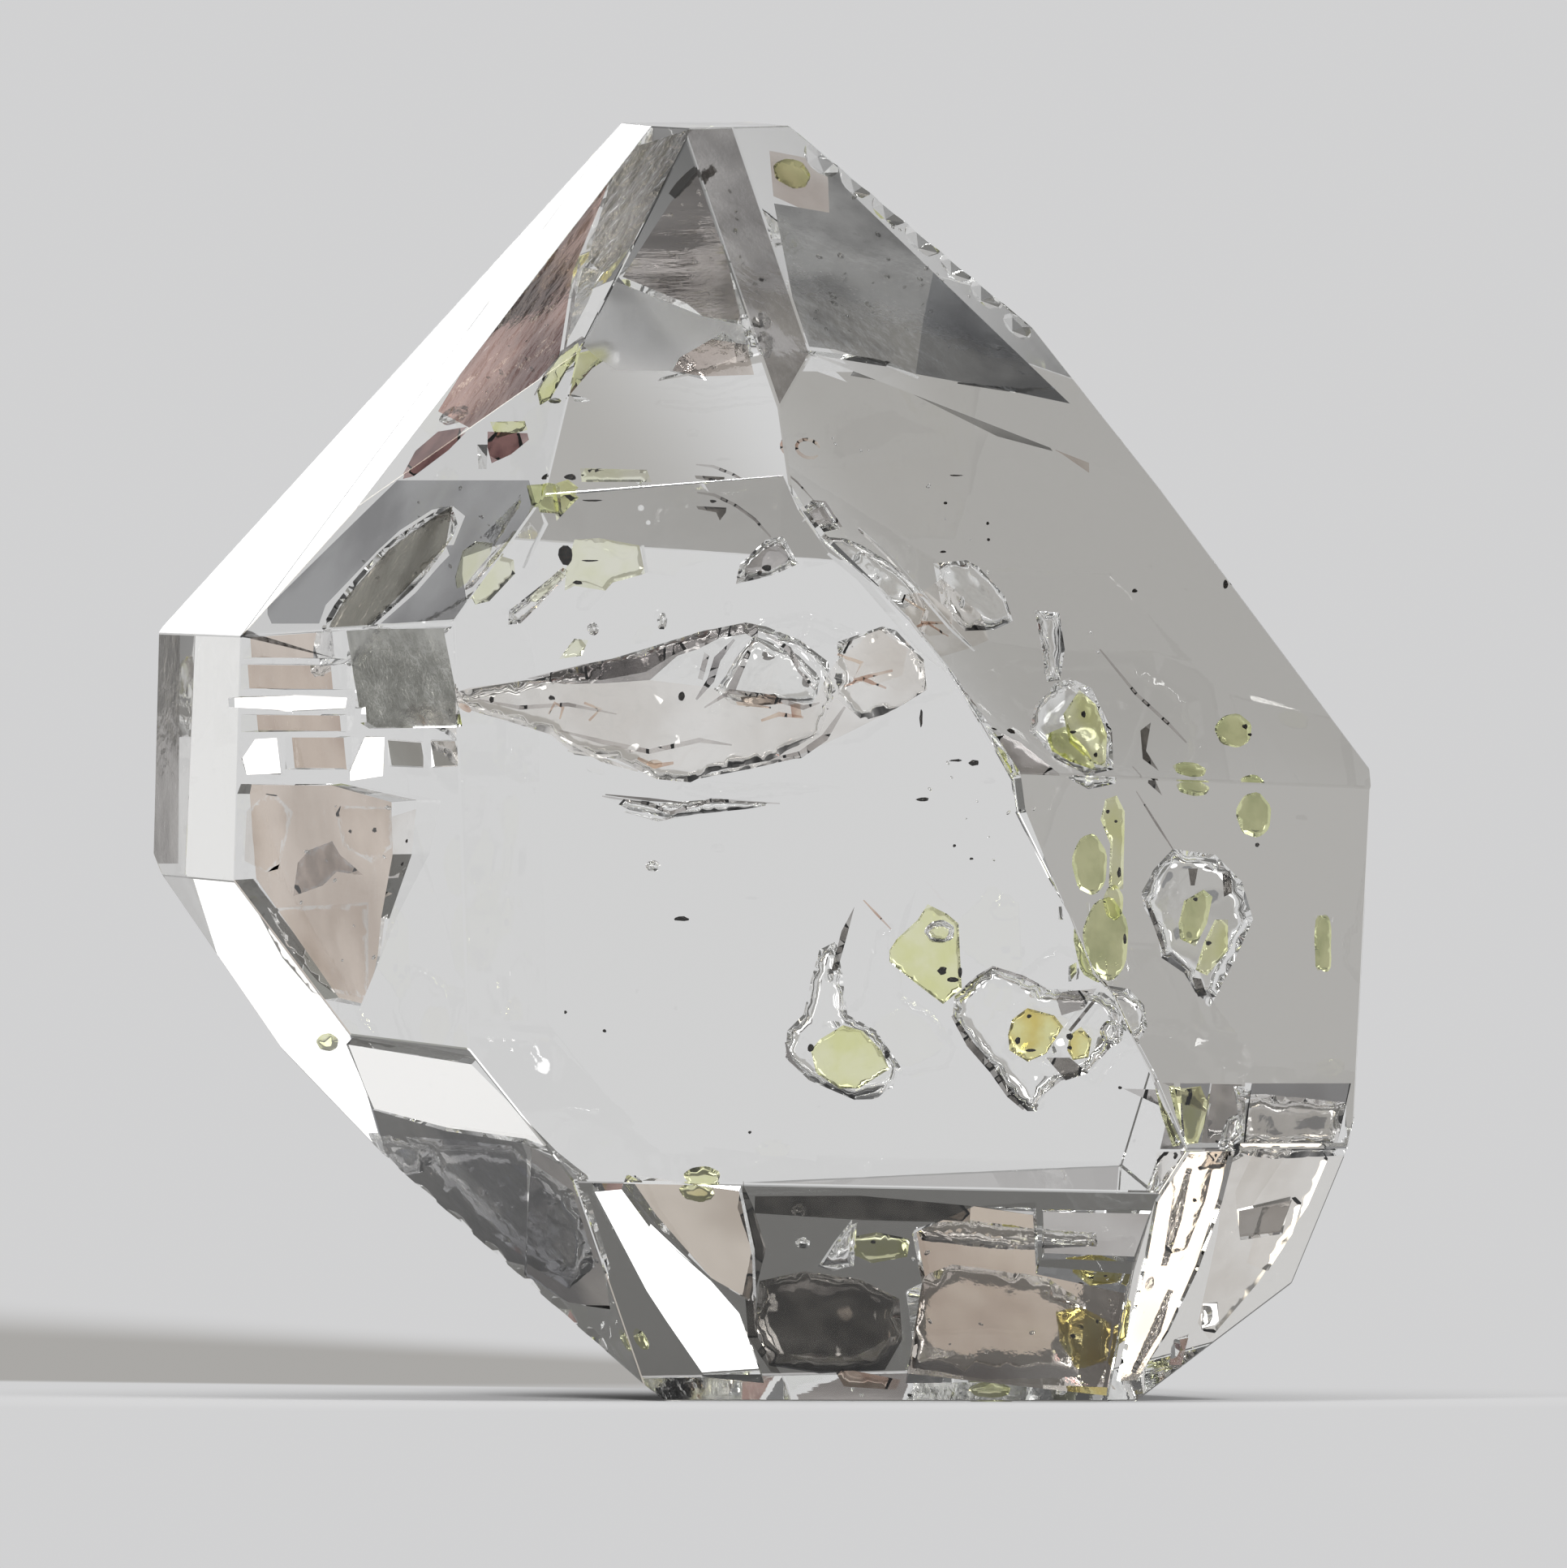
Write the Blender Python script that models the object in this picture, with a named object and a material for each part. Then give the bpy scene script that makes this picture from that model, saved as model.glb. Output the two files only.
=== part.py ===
"""Petroleum quartz: one water-clear, double-ended quartz crystal.

The crystal stands on a small flat spot at its lower end, with its long axis
along +Z and its broadest prism face towards -Y. It grew as two blocks side by
side in parallel, which meet along an irregular ledge that runs down its front.
Lengths are in metres. Places on the front are given in millimetres, as X to
the right of the middle and Z above the flat spot.
"""

import math

import bmesh
import bpy
from mathutils import Matrix, Vector

MM = 0.001

# Size of the crystal.
HEIGHT = 14.9 * MM
FRONT_DEPTH = -4.66 * MM  # of the broad front face, at its left edge
BACK_DEPTH = 5.34 * MM  # of the broad back face, at the middle
BACK_TOP_DEPTH = 4.94 * MM  # of the end face above it, at its lower edge
BACK_LOW_DEPTH = 4.54 * MM  # of the end face below it, near the base
STOCK = 60.0 * MM  # edge of the block that each form is cut from

# How finely the mesh is cut and tidied.
CUT_SNAP = 0.0001 * MM  # a corner this near a cutting plane counts as on it
WELD = 0.002 * MM
FLAT_ANGLE = 0.2  # degrees

# Face angles in degrees. A face's azimuth is 0 where it looks along -Y and
# grows towards +X. Its slope is 0 on an upright face and positive where the
# face looks upwards. Quartz has six prism faces about 60 degrees apart, and
# end faces that lean back about 38 degrees from the upright.
FRONT_TURN = -10.0
LEFT_TURN = -60.0
RIGHT_TURN = 42.0
BACK_TURN = 174.0

LEDGE_OVERLAP = 0.02 * MM  # keeps the two clearances from sharing a wall
CHIP_ROUNDNESS = 0.75  # radius of a chip's hollow for each unit of its width
CHIP_FINENESS = 2


class Face:
    """A flat crystal face, held as its outward normal and one point."""

    def __init__(self, azimuth, slope, point):
        turn, lean = math.radians(azimuth), math.radians(slope)
        self.normal = Vector(
            (
                math.cos(lean) * math.sin(turn),
                -math.cos(lean) * math.cos(turn),
                math.sin(lean),
            )
        )
        self.point = Vector(point)

    def depth(self, x, z):
        """How far back the face lies at a place of the front view."""
        n, p = self.normal, self.point
        return p.y - (n.x * (x - p.x) + n.z * (z - p.z)) / n.y


def meeting(azimuth, slope, neighbour, x, z):
    """A face whose edge with its neighbour passes through (x, z), in mm."""
    x, z = x * MM, z * MM
    return Face(azimuth, slope, (x, neighbour.depth(x, z), z))


# The front of the left block.
front = Face(FRONT_TURN, -1.0, (-3.43 * MM, FRONT_DEPTH, 6.55 * MM))
left = meeting(LEFT_TURN, -2.0, front, -3.43, 6.55)
far_left = meeting(-76.5, 0.0, left, -6.06, 8.09)
left_top = meeting(-61.0, 29.0, left, -4.76, 9.0)
left_tip = meeting(-66.0, 36.0, left_top, -3.38, 11.3)
far_left_top = meeting(-76.0, 37.3, far_left, -6.53, 8.94)
front_top = meeting(-13.5, 37.0, front, -1.07, 10.65)
front_low = meeting(-10.8, -38.5, front, 1.31, 2.51)
left_low = meeting(-62.0, -33.0, front, -2.59, 3.15)
far_left_low = meeting(-77.0, -25.0, far_left, -6.77, 6.1)

# The front of the right block, which starts at the narrow face by the tip.
tip_strip = meeting(34.0, 42.0, front_top, -0.29, 13.18)
tip_right = meeting(46.0, 40.0, tip_strip, 0.2, 13.44)
right_top = meeting(43.0, 34.5, tip_right, 2.16, 11.59)
right = meeting(RIGHT_TURN, 6.0, right_top, 5.05, 7.23)
right_low = meeting(RIGHT_TURN, -32.5, right, 5.96, 2.94)

# The sides, the back, the base and the tip.
back_left = meeting(-151.0, 6.0, far_left, -7.08, 7.6)
back_left_top = meeting(-134.0, 46.0, far_left_top, -4.35, 11.92)
back_left_low = meeting(-108.0, -44.0, far_left_low, -6.4, 5.25)
under_left = Face(-96.0, -50.7, (-4.53 * MM, -1.66 * MM, 2.93 * MM))
back_right = meeting(101.0, -5.0, right, 7.1, 6.0)
back_right_top = meeting(106.0, 33.0, right_top, 4.92, 10.35)
tip_far_right = meeting(100.0, 50.0, tip_right, 1.59, 13.87)
back_right_low = meeting(103.0, -16.0, right_low, 6.6, 2.25)
under_right = Face(90.0, -53.0, (5.96 * MM, 0.0, 1.16 * MM))
back = Face(BACK_TURN, 1.0, (0.0, BACK_DEPTH, 7.0 * MM))
back_top = Face(171.0, 38.5, (0.0, BACK_TOP_DEPTH, 10.4 * MM))
back_low = Face(172.0, -36.0, (0.0, BACK_LOW_DEPTH, 1.35 * MM))
base = Face(0.0, -90.0, (0.0, 0.0, 0.0))
tip = Face(0.0, 88.0, (0.0, 0.0, HEIGHT))

SHARED = [
    far_left, far_left_top, far_left_low, back_left, back_left_top, back_left_low,
    under_left, back_right, back_right_top, tip_far_right, back_right_low,
    under_right, back, back_top, back_low, base, tip,
]
LEFT_BLOCK = [front, left, left_top, left_tip, front_top, front_low, left_low, tip_strip]
RIGHT_BLOCK = [front_top, tip_strip, tip_right, right_top, right, right_low]

# The ledge between the blocks as it shows from the front, in mm, from above
# the tip to below the base.
LEDGE = [
    (-0.45, 16.0), (0.0, 13.0), (0.3, 11.9), (0.15, 11.74), (0.19, 11.23),
    (0.31, 10.75), (0.5, 10.37), (0.74, 10.04), (1.12, 9.71), (1.45, 9.42),
    (1.78, 9.09), (2.21, 8.52), (2.6, 7.9), (2.97, 7.24), (3.02, 6.86),
    (3.4, 6.1), (3.68, 5.62), (3.92, 5.01), (4.16, 4.75), (4.35, 4.34),
    (4.63, 3.82), (5.01, 2.94), (4.63, 2.35), (4.39, 1.54), (4.11, 0.07),
    (4.0, -1.0),
]

# Chips along the worn edges, as (x, z, width) in mm.
TIP_EDGE_CHIPS = [
    (0.72, 14.42, 0.5), (1.12, 14.16, 0.42), (1.5, 13.84, 0.46), (1.9, 13.5, 0.5),
    (2.3, 13.18, 0.44), (2.66, 12.86, 0.46), (3.02, 12.5, 0.4),
]
LOW_EDGE_CHIPS = [
    (-4.3, 2.74, 0.5), (-3.86, 2.38, 0.46), (-3.46, 2.06, 0.5), (-3.04, 1.72, 0.42),
    (-2.66, 1.4, 0.46), (-2.24, 1.06, 0.5), (-1.86, 0.74, 0.4),
]


def new_object(name, bm, collection):
    """An object made from a bmesh, linked to a collection."""
    mesh = bpy.data.meshes.new(name)
    bmesh.ops.recalc_face_normals(bm, faces=bm.faces[:])
    bm.to_mesh(mesh)
    bm.free()
    thing = bpy.data.objects.new(name, mesh)
    collection.objects.link(thing)
    return thing


def cut_form(faces):
    """A bmesh of the stock block, cut flat by each face in turn."""
    bm = bmesh.new()
    bmesh.ops.create_cube(bm, size=STOCK)
    for face in faces:
        geometry = bm.verts[:] + bm.edges[:] + bm.faces[:]
        cut = bmesh.ops.bisect_plane(
            bm, geom=geometry, dist=CUT_SNAP,
            plane_co=face.point, plane_no=face.normal, clear_outer=True,
        )
        rim = [item for item in cut["geom_cut"] if isinstance(item, bmesh.types.BMEdge)]
        bmesh.ops.edgenet_fill(bm, edges=rim)
    return bm


def side_slab(side):
    """A bmesh of all that lies left (-1) or right (+1) of the ledge."""
    reach = side * STOCK / 2
    full_depth = Vector((0.0, STOCK, 0.0))
    shift = LEDGE_OVERLAP if side > 0 else 0.0
    outline = [(x * MM - shift, z * MM) for x, z in LEDGE]
    outline += [(reach, outline[-1][1]), (reach, outline[0][1])]
    bm = bmesh.new()
    ring = [bm.verts.new((x, -STOCK / 2, z)) for x, z in outline]
    wall = bm.faces.new(ring)
    swept = bmesh.ops.extrude_face_region(bm, geom=[wall])["geom"]
    moved = [item for item in swept if isinstance(item, bmesh.types.BMVert)]
    bmesh.ops.translate(bm, verts=moved, vec=full_depth)
    return bm


def apply_boolean(thing, cutter, operation):
    """Carry out one Boolean and keep its result as the object's own mesh."""
    modifier = thing.modifiers.new(operation.title(), "BOOLEAN")
    modifier.operation = operation
    modifier.solver = "EXACT"
    modifier.object = cutter
    bpy.context.view_layer.update()
    depsgraph = bpy.context.evaluated_depsgraph_get()
    result = bpy.data.meshes.new_from_object(thing.evaluated_get(depsgraph))
    thing.modifiers.clear()
    thing.data = result


def tidy_mesh(thing):
    """Weld points that coincide and drop edges inside flat faces."""
    bm = bmesh.new()
    bm.from_mesh(thing.data)
    bmesh.ops.remove_doubles(bm, verts=bm.verts[:], dist=WELD)
    bmesh.ops.dissolve_limit(
        bm, angle_limit=math.radians(FLAT_ANGLE), verts=bm.verts[:], edges=bm.edges[:]
    )
    bm.to_mesh(thing.data)
    bm.free()


def waste_in_front(name, side, faces, guides):
    """What is cleared away in front of one block."""
    waste = new_object(name, side_slab(side), guides)
    form = new_object(name + "_form", cut_form(faces), guides)
    apply_boolean(waste, form, "DIFFERENCE")
    for guide in (waste, form):
        guide.hide_render = True
        guide.display_type = "WIRE"
    return waste


def chip_edge(name, places, faces, guides):
    """A joined cutter of shallow round chips along an edge of two faces.

    Each place is (x, z, width) on the front view in mm, on the edge itself.
    """
    outward = (faces[0].normal + faces[1].normal).normalized()
    bm = bmesh.new()
    for x, z, width in places:
        radius = width * MM * CHIP_ROUNDNESS
        half = width * MM / 2
        sagitta = radius - math.sqrt(radius * radius - half * half)
        spot = Vector((x * MM, faces[0].depth(x * MM, z * MM), z * MM))
        centre = spot + outward * (radius - sagitta)
        made = bmesh.ops.create_icosphere(bm, subdivisions=CHIP_FINENESS, radius=radius)
        bmesh.ops.rotate(
            bm, verts=made["verts"], cent=(0.0, 0.0, 0.0),
            matrix=Matrix.Rotation(x + z, 3, "Y"),
        )
        bmesh.ops.translate(bm, verts=made["verts"], vec=centre)
    chips = new_object(name, bm, guides)
    chips.hide_render = True
    chips.display_type = "WIRE"
    return chips


def crystal_material():
    """Clear colourless quartz."""
    material = bpy.data.materials.new("quartz")
    material.use_nodes = True
    shader = material.node_tree.nodes["Principled BSDF"]
    shader.inputs["Base Color"].default_value = (0.93, 0.94, 0.92, 1.0)
    shader.inputs["Roughness"].default_value = 0.02
    shader.inputs["Metallic"].default_value = 0.0
    shader.inputs["IOR"].default_value = 1.544
    shader.inputs["Transmission Weight"].default_value = 1.0
    return material


def build():
    for thing in list(bpy.data.objects):
        bpy.data.objects.remove(thing, do_unlink=True)
    parts = bpy.data.collections.new("petroleum_quartz")
    guides = bpy.data.collections.new("guides")
    for collection in (parts, guides):
        bpy.context.scene.collection.children.link(collection)

    crystal = new_object("crystal", cut_form(SHARED), parts)
    left_waste = waste_in_front("left_waste", -1, LEFT_BLOCK, guides)
    right_waste = waste_in_front("right_waste", 1, RIGHT_BLOCK, guides)
    apply_boolean(crystal, left_waste, "DIFFERENCE")
    apply_boolean(crystal, right_waste, "DIFFERENCE")
    tip_chips = chip_edge("tip_chips", TIP_EDGE_CHIPS, (tip_right, tip_far_right), guides)
    low_chips = chip_edge("low_chips", LOW_EDGE_CHIPS, (left_low, under_left), guides)
    apply_boolean(crystal, tip_chips, "DIFFERENCE")
    apply_boolean(crystal, low_chips, "DIFFERENCE")
    tidy_mesh(crystal)
    crystal.data.materials.clear()
    crystal.data.materials.append(crystal_material())


build()
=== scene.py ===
"""Looks of the petroleum quartz: the clear crystal, what is sealed in it, and the studio.

Lengths are in metres. A place on the photograph is a pixel of its 1931 x 1932
frame, and seen() turns it into the point inside the crystal that shows there.
"""

import math
import random

import bmesh
import bpy
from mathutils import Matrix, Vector, geometry, noise
from mathutils.bvhtree import BVHTree


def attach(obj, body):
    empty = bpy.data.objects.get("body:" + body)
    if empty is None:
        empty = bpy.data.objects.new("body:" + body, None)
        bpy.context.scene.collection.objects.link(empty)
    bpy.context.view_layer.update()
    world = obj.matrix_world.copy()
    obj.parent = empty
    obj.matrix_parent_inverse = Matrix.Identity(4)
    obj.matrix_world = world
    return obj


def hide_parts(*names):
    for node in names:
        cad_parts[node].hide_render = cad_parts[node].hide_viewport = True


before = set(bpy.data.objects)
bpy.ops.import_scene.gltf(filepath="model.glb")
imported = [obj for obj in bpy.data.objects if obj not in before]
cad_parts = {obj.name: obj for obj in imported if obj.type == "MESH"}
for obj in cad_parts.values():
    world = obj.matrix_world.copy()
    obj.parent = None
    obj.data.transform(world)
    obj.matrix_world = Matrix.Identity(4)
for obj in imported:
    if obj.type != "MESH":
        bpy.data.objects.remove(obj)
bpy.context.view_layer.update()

MM = 0.001

# The photograph's frame and the camera.
PIXEL = 0.0095 * MM
PIXEL_MIDDLE = 932.5
PIXEL_GROUND = 1722.0
FRAME_CENTRE = (965.5, 966.0)
CAMERA_DISTANCE = 0.6
SENSOR = 36.0
FRAME_WIDTH = 1931 * PIXEL

QUARTZ_IOR = 1.544
EDGE_WEAR = 0.022 * MM
EDGE_ANGLE = math.radians(8.0)
EDGE_LENGTH = 0.35 * MM


def on_picture(px, py):
    """The place on the picture plane through the crystal's middle."""
    return Vector(((px - PIXEL_MIDDLE) * PIXEL, 0.0, (PIXEL_GROUND - py) * PIXEL))


def make_camera():
    """A long lens level with the middle of the frame, looking along +Y."""
    data = bpy.data.cameras.new("camera")
    data.sensor_width = SENSOR
    data.lens = SENSOR * CAMERA_DISTANCE / FRAME_WIDTH
    data.clip_start, data.clip_end = 0.01, 50.0
    camera = bpy.data.objects.new("camera", data)
    camera.location = on_picture(*FRAME_CENTRE) + Vector((0.0, -CAMERA_DISTANCE, 0.0))
    camera.rotation_euler = (math.radians(90.0), 0.0, 0.0)
    bpy.context.scene.collection.objects.link(camera)
    bpy.context.scene.camera = camera
    return camera


CAMERA = make_camera()
EYE = CAMERA.location.copy()


def clean_form(node):
    """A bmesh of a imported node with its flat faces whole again."""
    bm = bmesh.new()
    bm.from_mesh(node.data)
    bmesh.ops.remove_doubles(bm, verts=bm.verts[:], dist=0.001 * MM)
    bmesh.ops.dissolve_limit(
        bm, angle_limit=math.radians(0.4), verts=bm.verts[:], edges=bm.edges[:]
    )
    bmesh.ops.recalc_face_normals(bm, faces=bm.faces[:])
    for face in bm.faces:
        face.smooth = False
    return bm


FORM = clean_form(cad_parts["crystal"])
FORM_TREE = BVHTree.FromBMesh(FORM)


def bent(direction, normal, ratio):
    """A ray's direction after it crosses a surface, by Snell's law."""
    along = -direction.dot(normal)
    under = 1.0 - ratio * ratio * (1.0 - along * along)
    return direction * ratio + normal * (ratio * along - math.sqrt(max(under, 0.0)))


def window(px, py):
    """The flat face that shows at a pixel: a point of it and its normal."""
    ray = (on_picture(px, py) - EYE).normalized()
    spot, normal, _, _ = FORM_TREE.ray_cast(EYE, ray)
    return spot, normal


def sight(px, py, pane=None):
    """Where the line of sight through a pixel enters a face, and its way inside."""
    ray = (on_picture(px, py) - EYE).normalized()
    place, normal = pane or window(px, py)
    spot = EYE + ray * ((place - EYE).dot(normal) / ray.dot(normal))
    return spot, bent(ray, normal, 1.0 / QUARTZ_IOR)


def seen(px, py, depth, pane=None):
    """The point inside the crystal, a depth behind its surface, that shows at a pixel."""
    spot, inward = sight(px, py, pane)
    return spot + inward * depth


def new_piece(name, bm, *materials):
    """A piece of the visual model, riding on the crystal's body."""
    mesh = bpy.data.meshes.new(name)
    bm.to_mesh(mesh)
    bm.free()
    thing = bpy.data.objects.new(name, mesh)
    bpy.context.scene.collection.objects.link(thing)
    for material in materials:
        thing.data.materials.append(material)
    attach(thing, "root")
    return thing


# Node helpers and directions

def towards(azimuth, elevation):
    """The direction of a card seen from the crystal. Azimuth 0 is behind it."""
    a, e = math.radians(azimuth), math.radians(elevation)
    return Vector((math.sin(a) * math.cos(e), math.cos(a) * math.cos(e), math.sin(e)))


def ramp(tree, value, low, high):
    """0 to 1 as the value passes from low to high, softly."""
    node = tree.nodes.new("ShaderNodeMapRange")
    node.interpolation_type = "SMOOTHSTEP"
    node.inputs["From Min"].default_value = low
    node.inputs["From Max"].default_value = high
    tree.links.new(value, node.inputs["Value"])
    return node.outputs["Result"]


def mixed(tree, mask, below, above):
    """One colour below and another where the mask is 1. Either may be a socket."""
    node = tree.nodes.new("ShaderNodeMix")
    node.data_type = "RGBA"
    tree.links.new(mask, node.inputs["Factor"])
    for socket, colour in ((node.inputs["A"], below), (node.inputs["B"], above)):
        if isinstance(colour, tuple):
            socket.default_value = (*colour, 1.0)
        else:
            tree.links.new(colour, socket)
    return node.outputs["Result"]


def noise_value(tree, place, scale, detail):
    """A noise from 0 to 1 over the places."""
    node = tree.nodes.new("ShaderNodeTexNoise")
    node.inputs["Scale"].default_value = scale
    node.inputs["Detail"].default_value = detail
    tree.links.new(place, node.inputs["Vector"])
    return node.outputs["Fac"]


def stretched(tree, place, stretch):
    """The places, stretched along each axis."""
    node = tree.nodes.new("ShaderNodeMapping")
    node.inputs["Scale"].default_value = stretch
    tree.links.new(place, node.inputs["Vector"])
    return node.outputs["Vector"]


def add_relief(tree, height, depth, shader):
    """Fine relief on a surface, where the height goes from 0 to 1."""
    node = tree.nodes.new("ShaderNodeBump")
    node.inputs["Distance"].default_value = depth
    tree.links.new(height, node.inputs["Height"])
    tree.links.new(node.outputs["Normal"], shader.inputs["Normal"])


# Materials

WHITE = (1.0, 1.0, 1.0)
EVEN = (1.0, 1.0, 1.0)
QUARTZ_TINT = (0.995, 0.995, 0.99)
GROWTH_STRETCH = (0.3, 1.0, 4.0)
GROWTH_SCALE = 350.0
GROWTH_DETAIL = 5.0
GROWTH_DEPTH = 0.0008 * MM
SCUFF_SCALE = 900.0
SCUFF_DETAIL = 8.0
SCUFF_RANGE = (0.62, 0.80)
SCUFF_ROUGHNESS = 0.03
BODY_COLOUR = (0.93, 0.95, 0.9, 1.0)
BODY_DENSITY = 6.0
TINT_DETAIL = 3.0
TINT_RANGE = (0.36, 0.64)
RELIEF_DETAIL = 6.0
CRUMB_SCALE = 30000.0
CRUMB_DETAIL = 4.0
CRUMB_RANGE = (0.45, 0.7)
CRUMB_SHINE = (-0.6, 1.4)
PITCH = (0.012, 0.010, 0.008)
CRUMB = (0.07, 0.045, 0.03)


def glassy(name, colour, ior, roughness=0.0):
    """A clear material and its shader node."""
    material = bpy.data.materials.new(name)
    material.use_nodes = True
    shader = material.node_tree.nodes["Principled BSDF"]
    shader.inputs["Base Color"].default_value = (*colour, 1.0)
    shader.inputs["Roughness"].default_value = roughness
    shader.inputs["IOR"].default_value = ior
    shader.inputs["Transmission Weight"].default_value = 1.0
    return material, shader


def quartz_material():
    """Water-clear quartz: faint growth steps across its faces and a few scuffed spots."""
    material, shader = glassy("quartz", QUARTZ_TINT, QUARTZ_IOR)
    tree = material.node_tree
    place = tree.nodes.new("ShaderNodeTexCoord").outputs["Object"]
    steps = stretched(tree, place, GROWTH_STRETCH)
    add_relief(tree, noise_value(tree, steps, GROWTH_SCALE, GROWTH_DETAIL), GROWTH_DEPTH, shader)
    worn = tree.nodes.new("ShaderNodeMapRange")
    worn.inputs["From Min"].default_value = SCUFF_RANGE[0]
    worn.inputs["From Max"].default_value = SCUFF_RANGE[1]
    worn.inputs["To Max"].default_value = SCUFF_ROUGHNESS
    tree.links.new(noise_value(tree, place, SCUFF_SCALE, SCUFF_DETAIL), worn.inputs["Value"])
    tree.links.new(worn.outputs["Result"], shader.inputs["Roughness"])
    absorb = tree.nodes.new("ShaderNodeVolumeAbsorption")
    absorb.inputs["Color"].default_value = BODY_COLOUR
    absorb.inputs["Density"].default_value = BODY_DENSITY
    tree.links.new(absorb.outputs["Volume"], tree.nodes["Material Output"].inputs["Volume"])
    return material


def mottled_material(name, ior, tints, tint_scale, relief_scale=0.0, relief=0.0, stretch=EVEN,
                     roughness=0.0):
    """A clear material with two tints that a noise mixes, and fine relief where asked."""
    material, shader = glassy(name, WHITE, ior, roughness)
    tree = material.node_tree
    place = tree.nodes.new("ShaderNodeTexCoord").outputs["Object"]
    spread = stretched(tree, place, stretch)
    patches = noise_value(tree, spread, tint_scale, TINT_DETAIL)
    tree.links.new(mixed(tree, ramp(tree, patches, *TINT_RANGE), *tints), shader.inputs["Base Color"])
    if relief:
        add_relief(tree, noise_value(tree, spread, relief_scale, RELIEF_DETAIL), relief, shader)
    return material


def bitumen_material():
    """Black pitch with brown crumbs in it."""
    material = bpy.data.materials.new("bitumen")
    material.use_nodes = True
    tree = material.node_tree
    shader = tree.nodes["Principled BSDF"]
    place = tree.nodes.new("ShaderNodeTexCoord").outputs["Object"]
    crumbs = noise_value(tree, place, CRUMB_SCALE, CRUMB_DETAIL)
    tint = mixed(tree, ramp(tree, crumbs, *CRUMB_RANGE), PITCH, CRUMB)
    tree.links.new(tint, shader.inputs["Base Color"])
    tree.links.new(ramp(tree, crumbs, *CRUMB_SHINE), shader.inputs["Roughness"])
    return material


QUARTZ = quartz_material()
# The outer faces: natural growth relief and tints. The grey and near-black tints are painted shade,
# darkening faces where they show dark surroundings and shadow; the others tint brown, maroon or pale.
FINISH_TABLE = {
    # name: two tints, their scale, the relief's scale and depth, how both are stretched, roughness
    "etched": (((0.92, 0.90, 0.87), (0.52, 0.48, 0.44)), 450.0, 1500.0, 0.018 * MM, EVEN),
    "brown": (((0.74, 0.66, 0.58), (0.40, 0.31, 0.26)), 500.0, 1500.0, 0.020 * MM, EVEN),
    "shade_olive": (((0.30, 0.30, 0.26), (0.11, 0.11, 0.09)), 1600.0, 5000.0, 0.018 * MM, EVEN),
    "maroon": (((0.46, 0.20, 0.155), (0.055, 0.019, 0.017)), 700.0, 2500.0, 0.018 * MM, (1.0, 1.0, 0.45)),
    "slate": (((0.28, 0.28, 0.27), (0.09, 0.09, 0.088)), 700.0, 3000.0, 0.016 * MM, (1.0, 1.0, 1.6)),
    "ink": (((0.12, 0.125, 0.13), (0.04, 0.042, 0.046)), 700.0, 3000.0, 0.014 * MM, (1.0, 1.0, 1.6)),
    "blurred": (((1.0, 1.0, 1.0), (0.88, 0.88, 0.86)), 700.0, 2500.0, 0.010 * MM, EVEN, 0.35),
    "shade_frosted": (((0.32, 0.30, 0.285), (0.13, 0.12, 0.115)), 900.0, 3500.0, 0.022 * MM, EVEN),
    "striped": (((0.62, 0.54, 0.50), (0.20, 0.17, 0.155)), 500.0, 1200.0, 0.024 * MM, (0.35, 1.0, 3.0)),
    "dusky": (((0.27, 0.275, 0.28), (0.13, 0.13, 0.135)), 600.0, 2500.0, 0.010 * MM, EVEN),
    "bronze": (((0.16, 0.15, 0.12), (0.035, 0.032, 0.024)), 900.0, 2500.0, 0.020 * MM, (1.0, 1.0, 0.5)),
    "pale": (((0.99, 0.985, 0.97), (0.80, 0.78, 0.74)), 500.0, 1800.0, 0.010 * MM, EVEN),
    "murky": (((0.30, 0.295, 0.29), (0.06, 0.06, 0.066)), 550.0, 1800.0, 0.014 * MM, EVEN),
}
FINISHES = {"clear": QUARTZ}
for name, values in FINISH_TABLE.items():
    FINISHES[name] = mottled_material(name + "_quartz", QUARTZ_IOR, *values)
FINISH_NAMES = list(FINISHES)

# What is sealed inside: petroleum from pale to deep, films of clay, rust and maroon, and grey films that
# are painted shade.
SEALED_IOR = 1.06
FILM_IOR = 1.015
OIL_TABLE = {
    # name: two tints and their scale
    "pale_petroleum": (((0.99, 0.99, 0.86), (0.94, 0.95, 0.74)), 2500.0),
    "petroleum": (((0.98, 0.99, 0.68), (0.91, 0.93, 0.50)), 2500.0),
    "deep_petroleum": (((0.95, 0.93, 0.50), (0.84, 0.70, 0.22)), 3000.0),
    "olive_petroleum": (((0.90, 0.92, 0.54), (0.66, 0.70, 0.38)), 2500.0),
}
FILM_TABLE = {
    "shade_film": (((0.62, 0.59, 0.58), (0.44, 0.42, 0.41)), 2500.0),
    "haze_film": (((1.0, 0.985, 0.97), (0.88, 0.85, 0.82)), 900.0),
    "rust_film": (((0.90, 0.78, 0.68), (0.62, 0.44, 0.36)), 2500.0),
    "dark_film": (((0.30, 0.28, 0.26), (0.14, 0.13, 0.12)), 3000.0),
    "maroon_film": (((0.30, 0.16, 0.15), (0.17, 0.08, 0.08)), 3000.0),
    "shadow_film": (((0.46, 0.44, 0.44), (0.30, 0.285, 0.285)), 2500.0),
}
OIL_KINDS = [mottled_material(name, SEALED_IOR, *values) for name, values in OIL_TABLE.items()]
FILM_KINDS = [mottled_material(name, FILM_IOR, *values) for name, values in FILM_TABLE.items()]
BITUMEN = bitumen_material()


# The crystal

def facet_normal(px, py, way_out):
    """How a facet at a pixel must lie for the eye to look out of the back in a direction."""
    spot, inward = sight(px, py)
    _, back, _, _ = FORM_TREE.ray_cast(spot + inward * SKIN, inward)
    inside = -bent(-way_out, back, 1.0 / QUARTZ_IOR)
    view = (spot - EYE).normalized()
    return (view - inside * QUARTZ_IOR).normalized()


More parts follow.
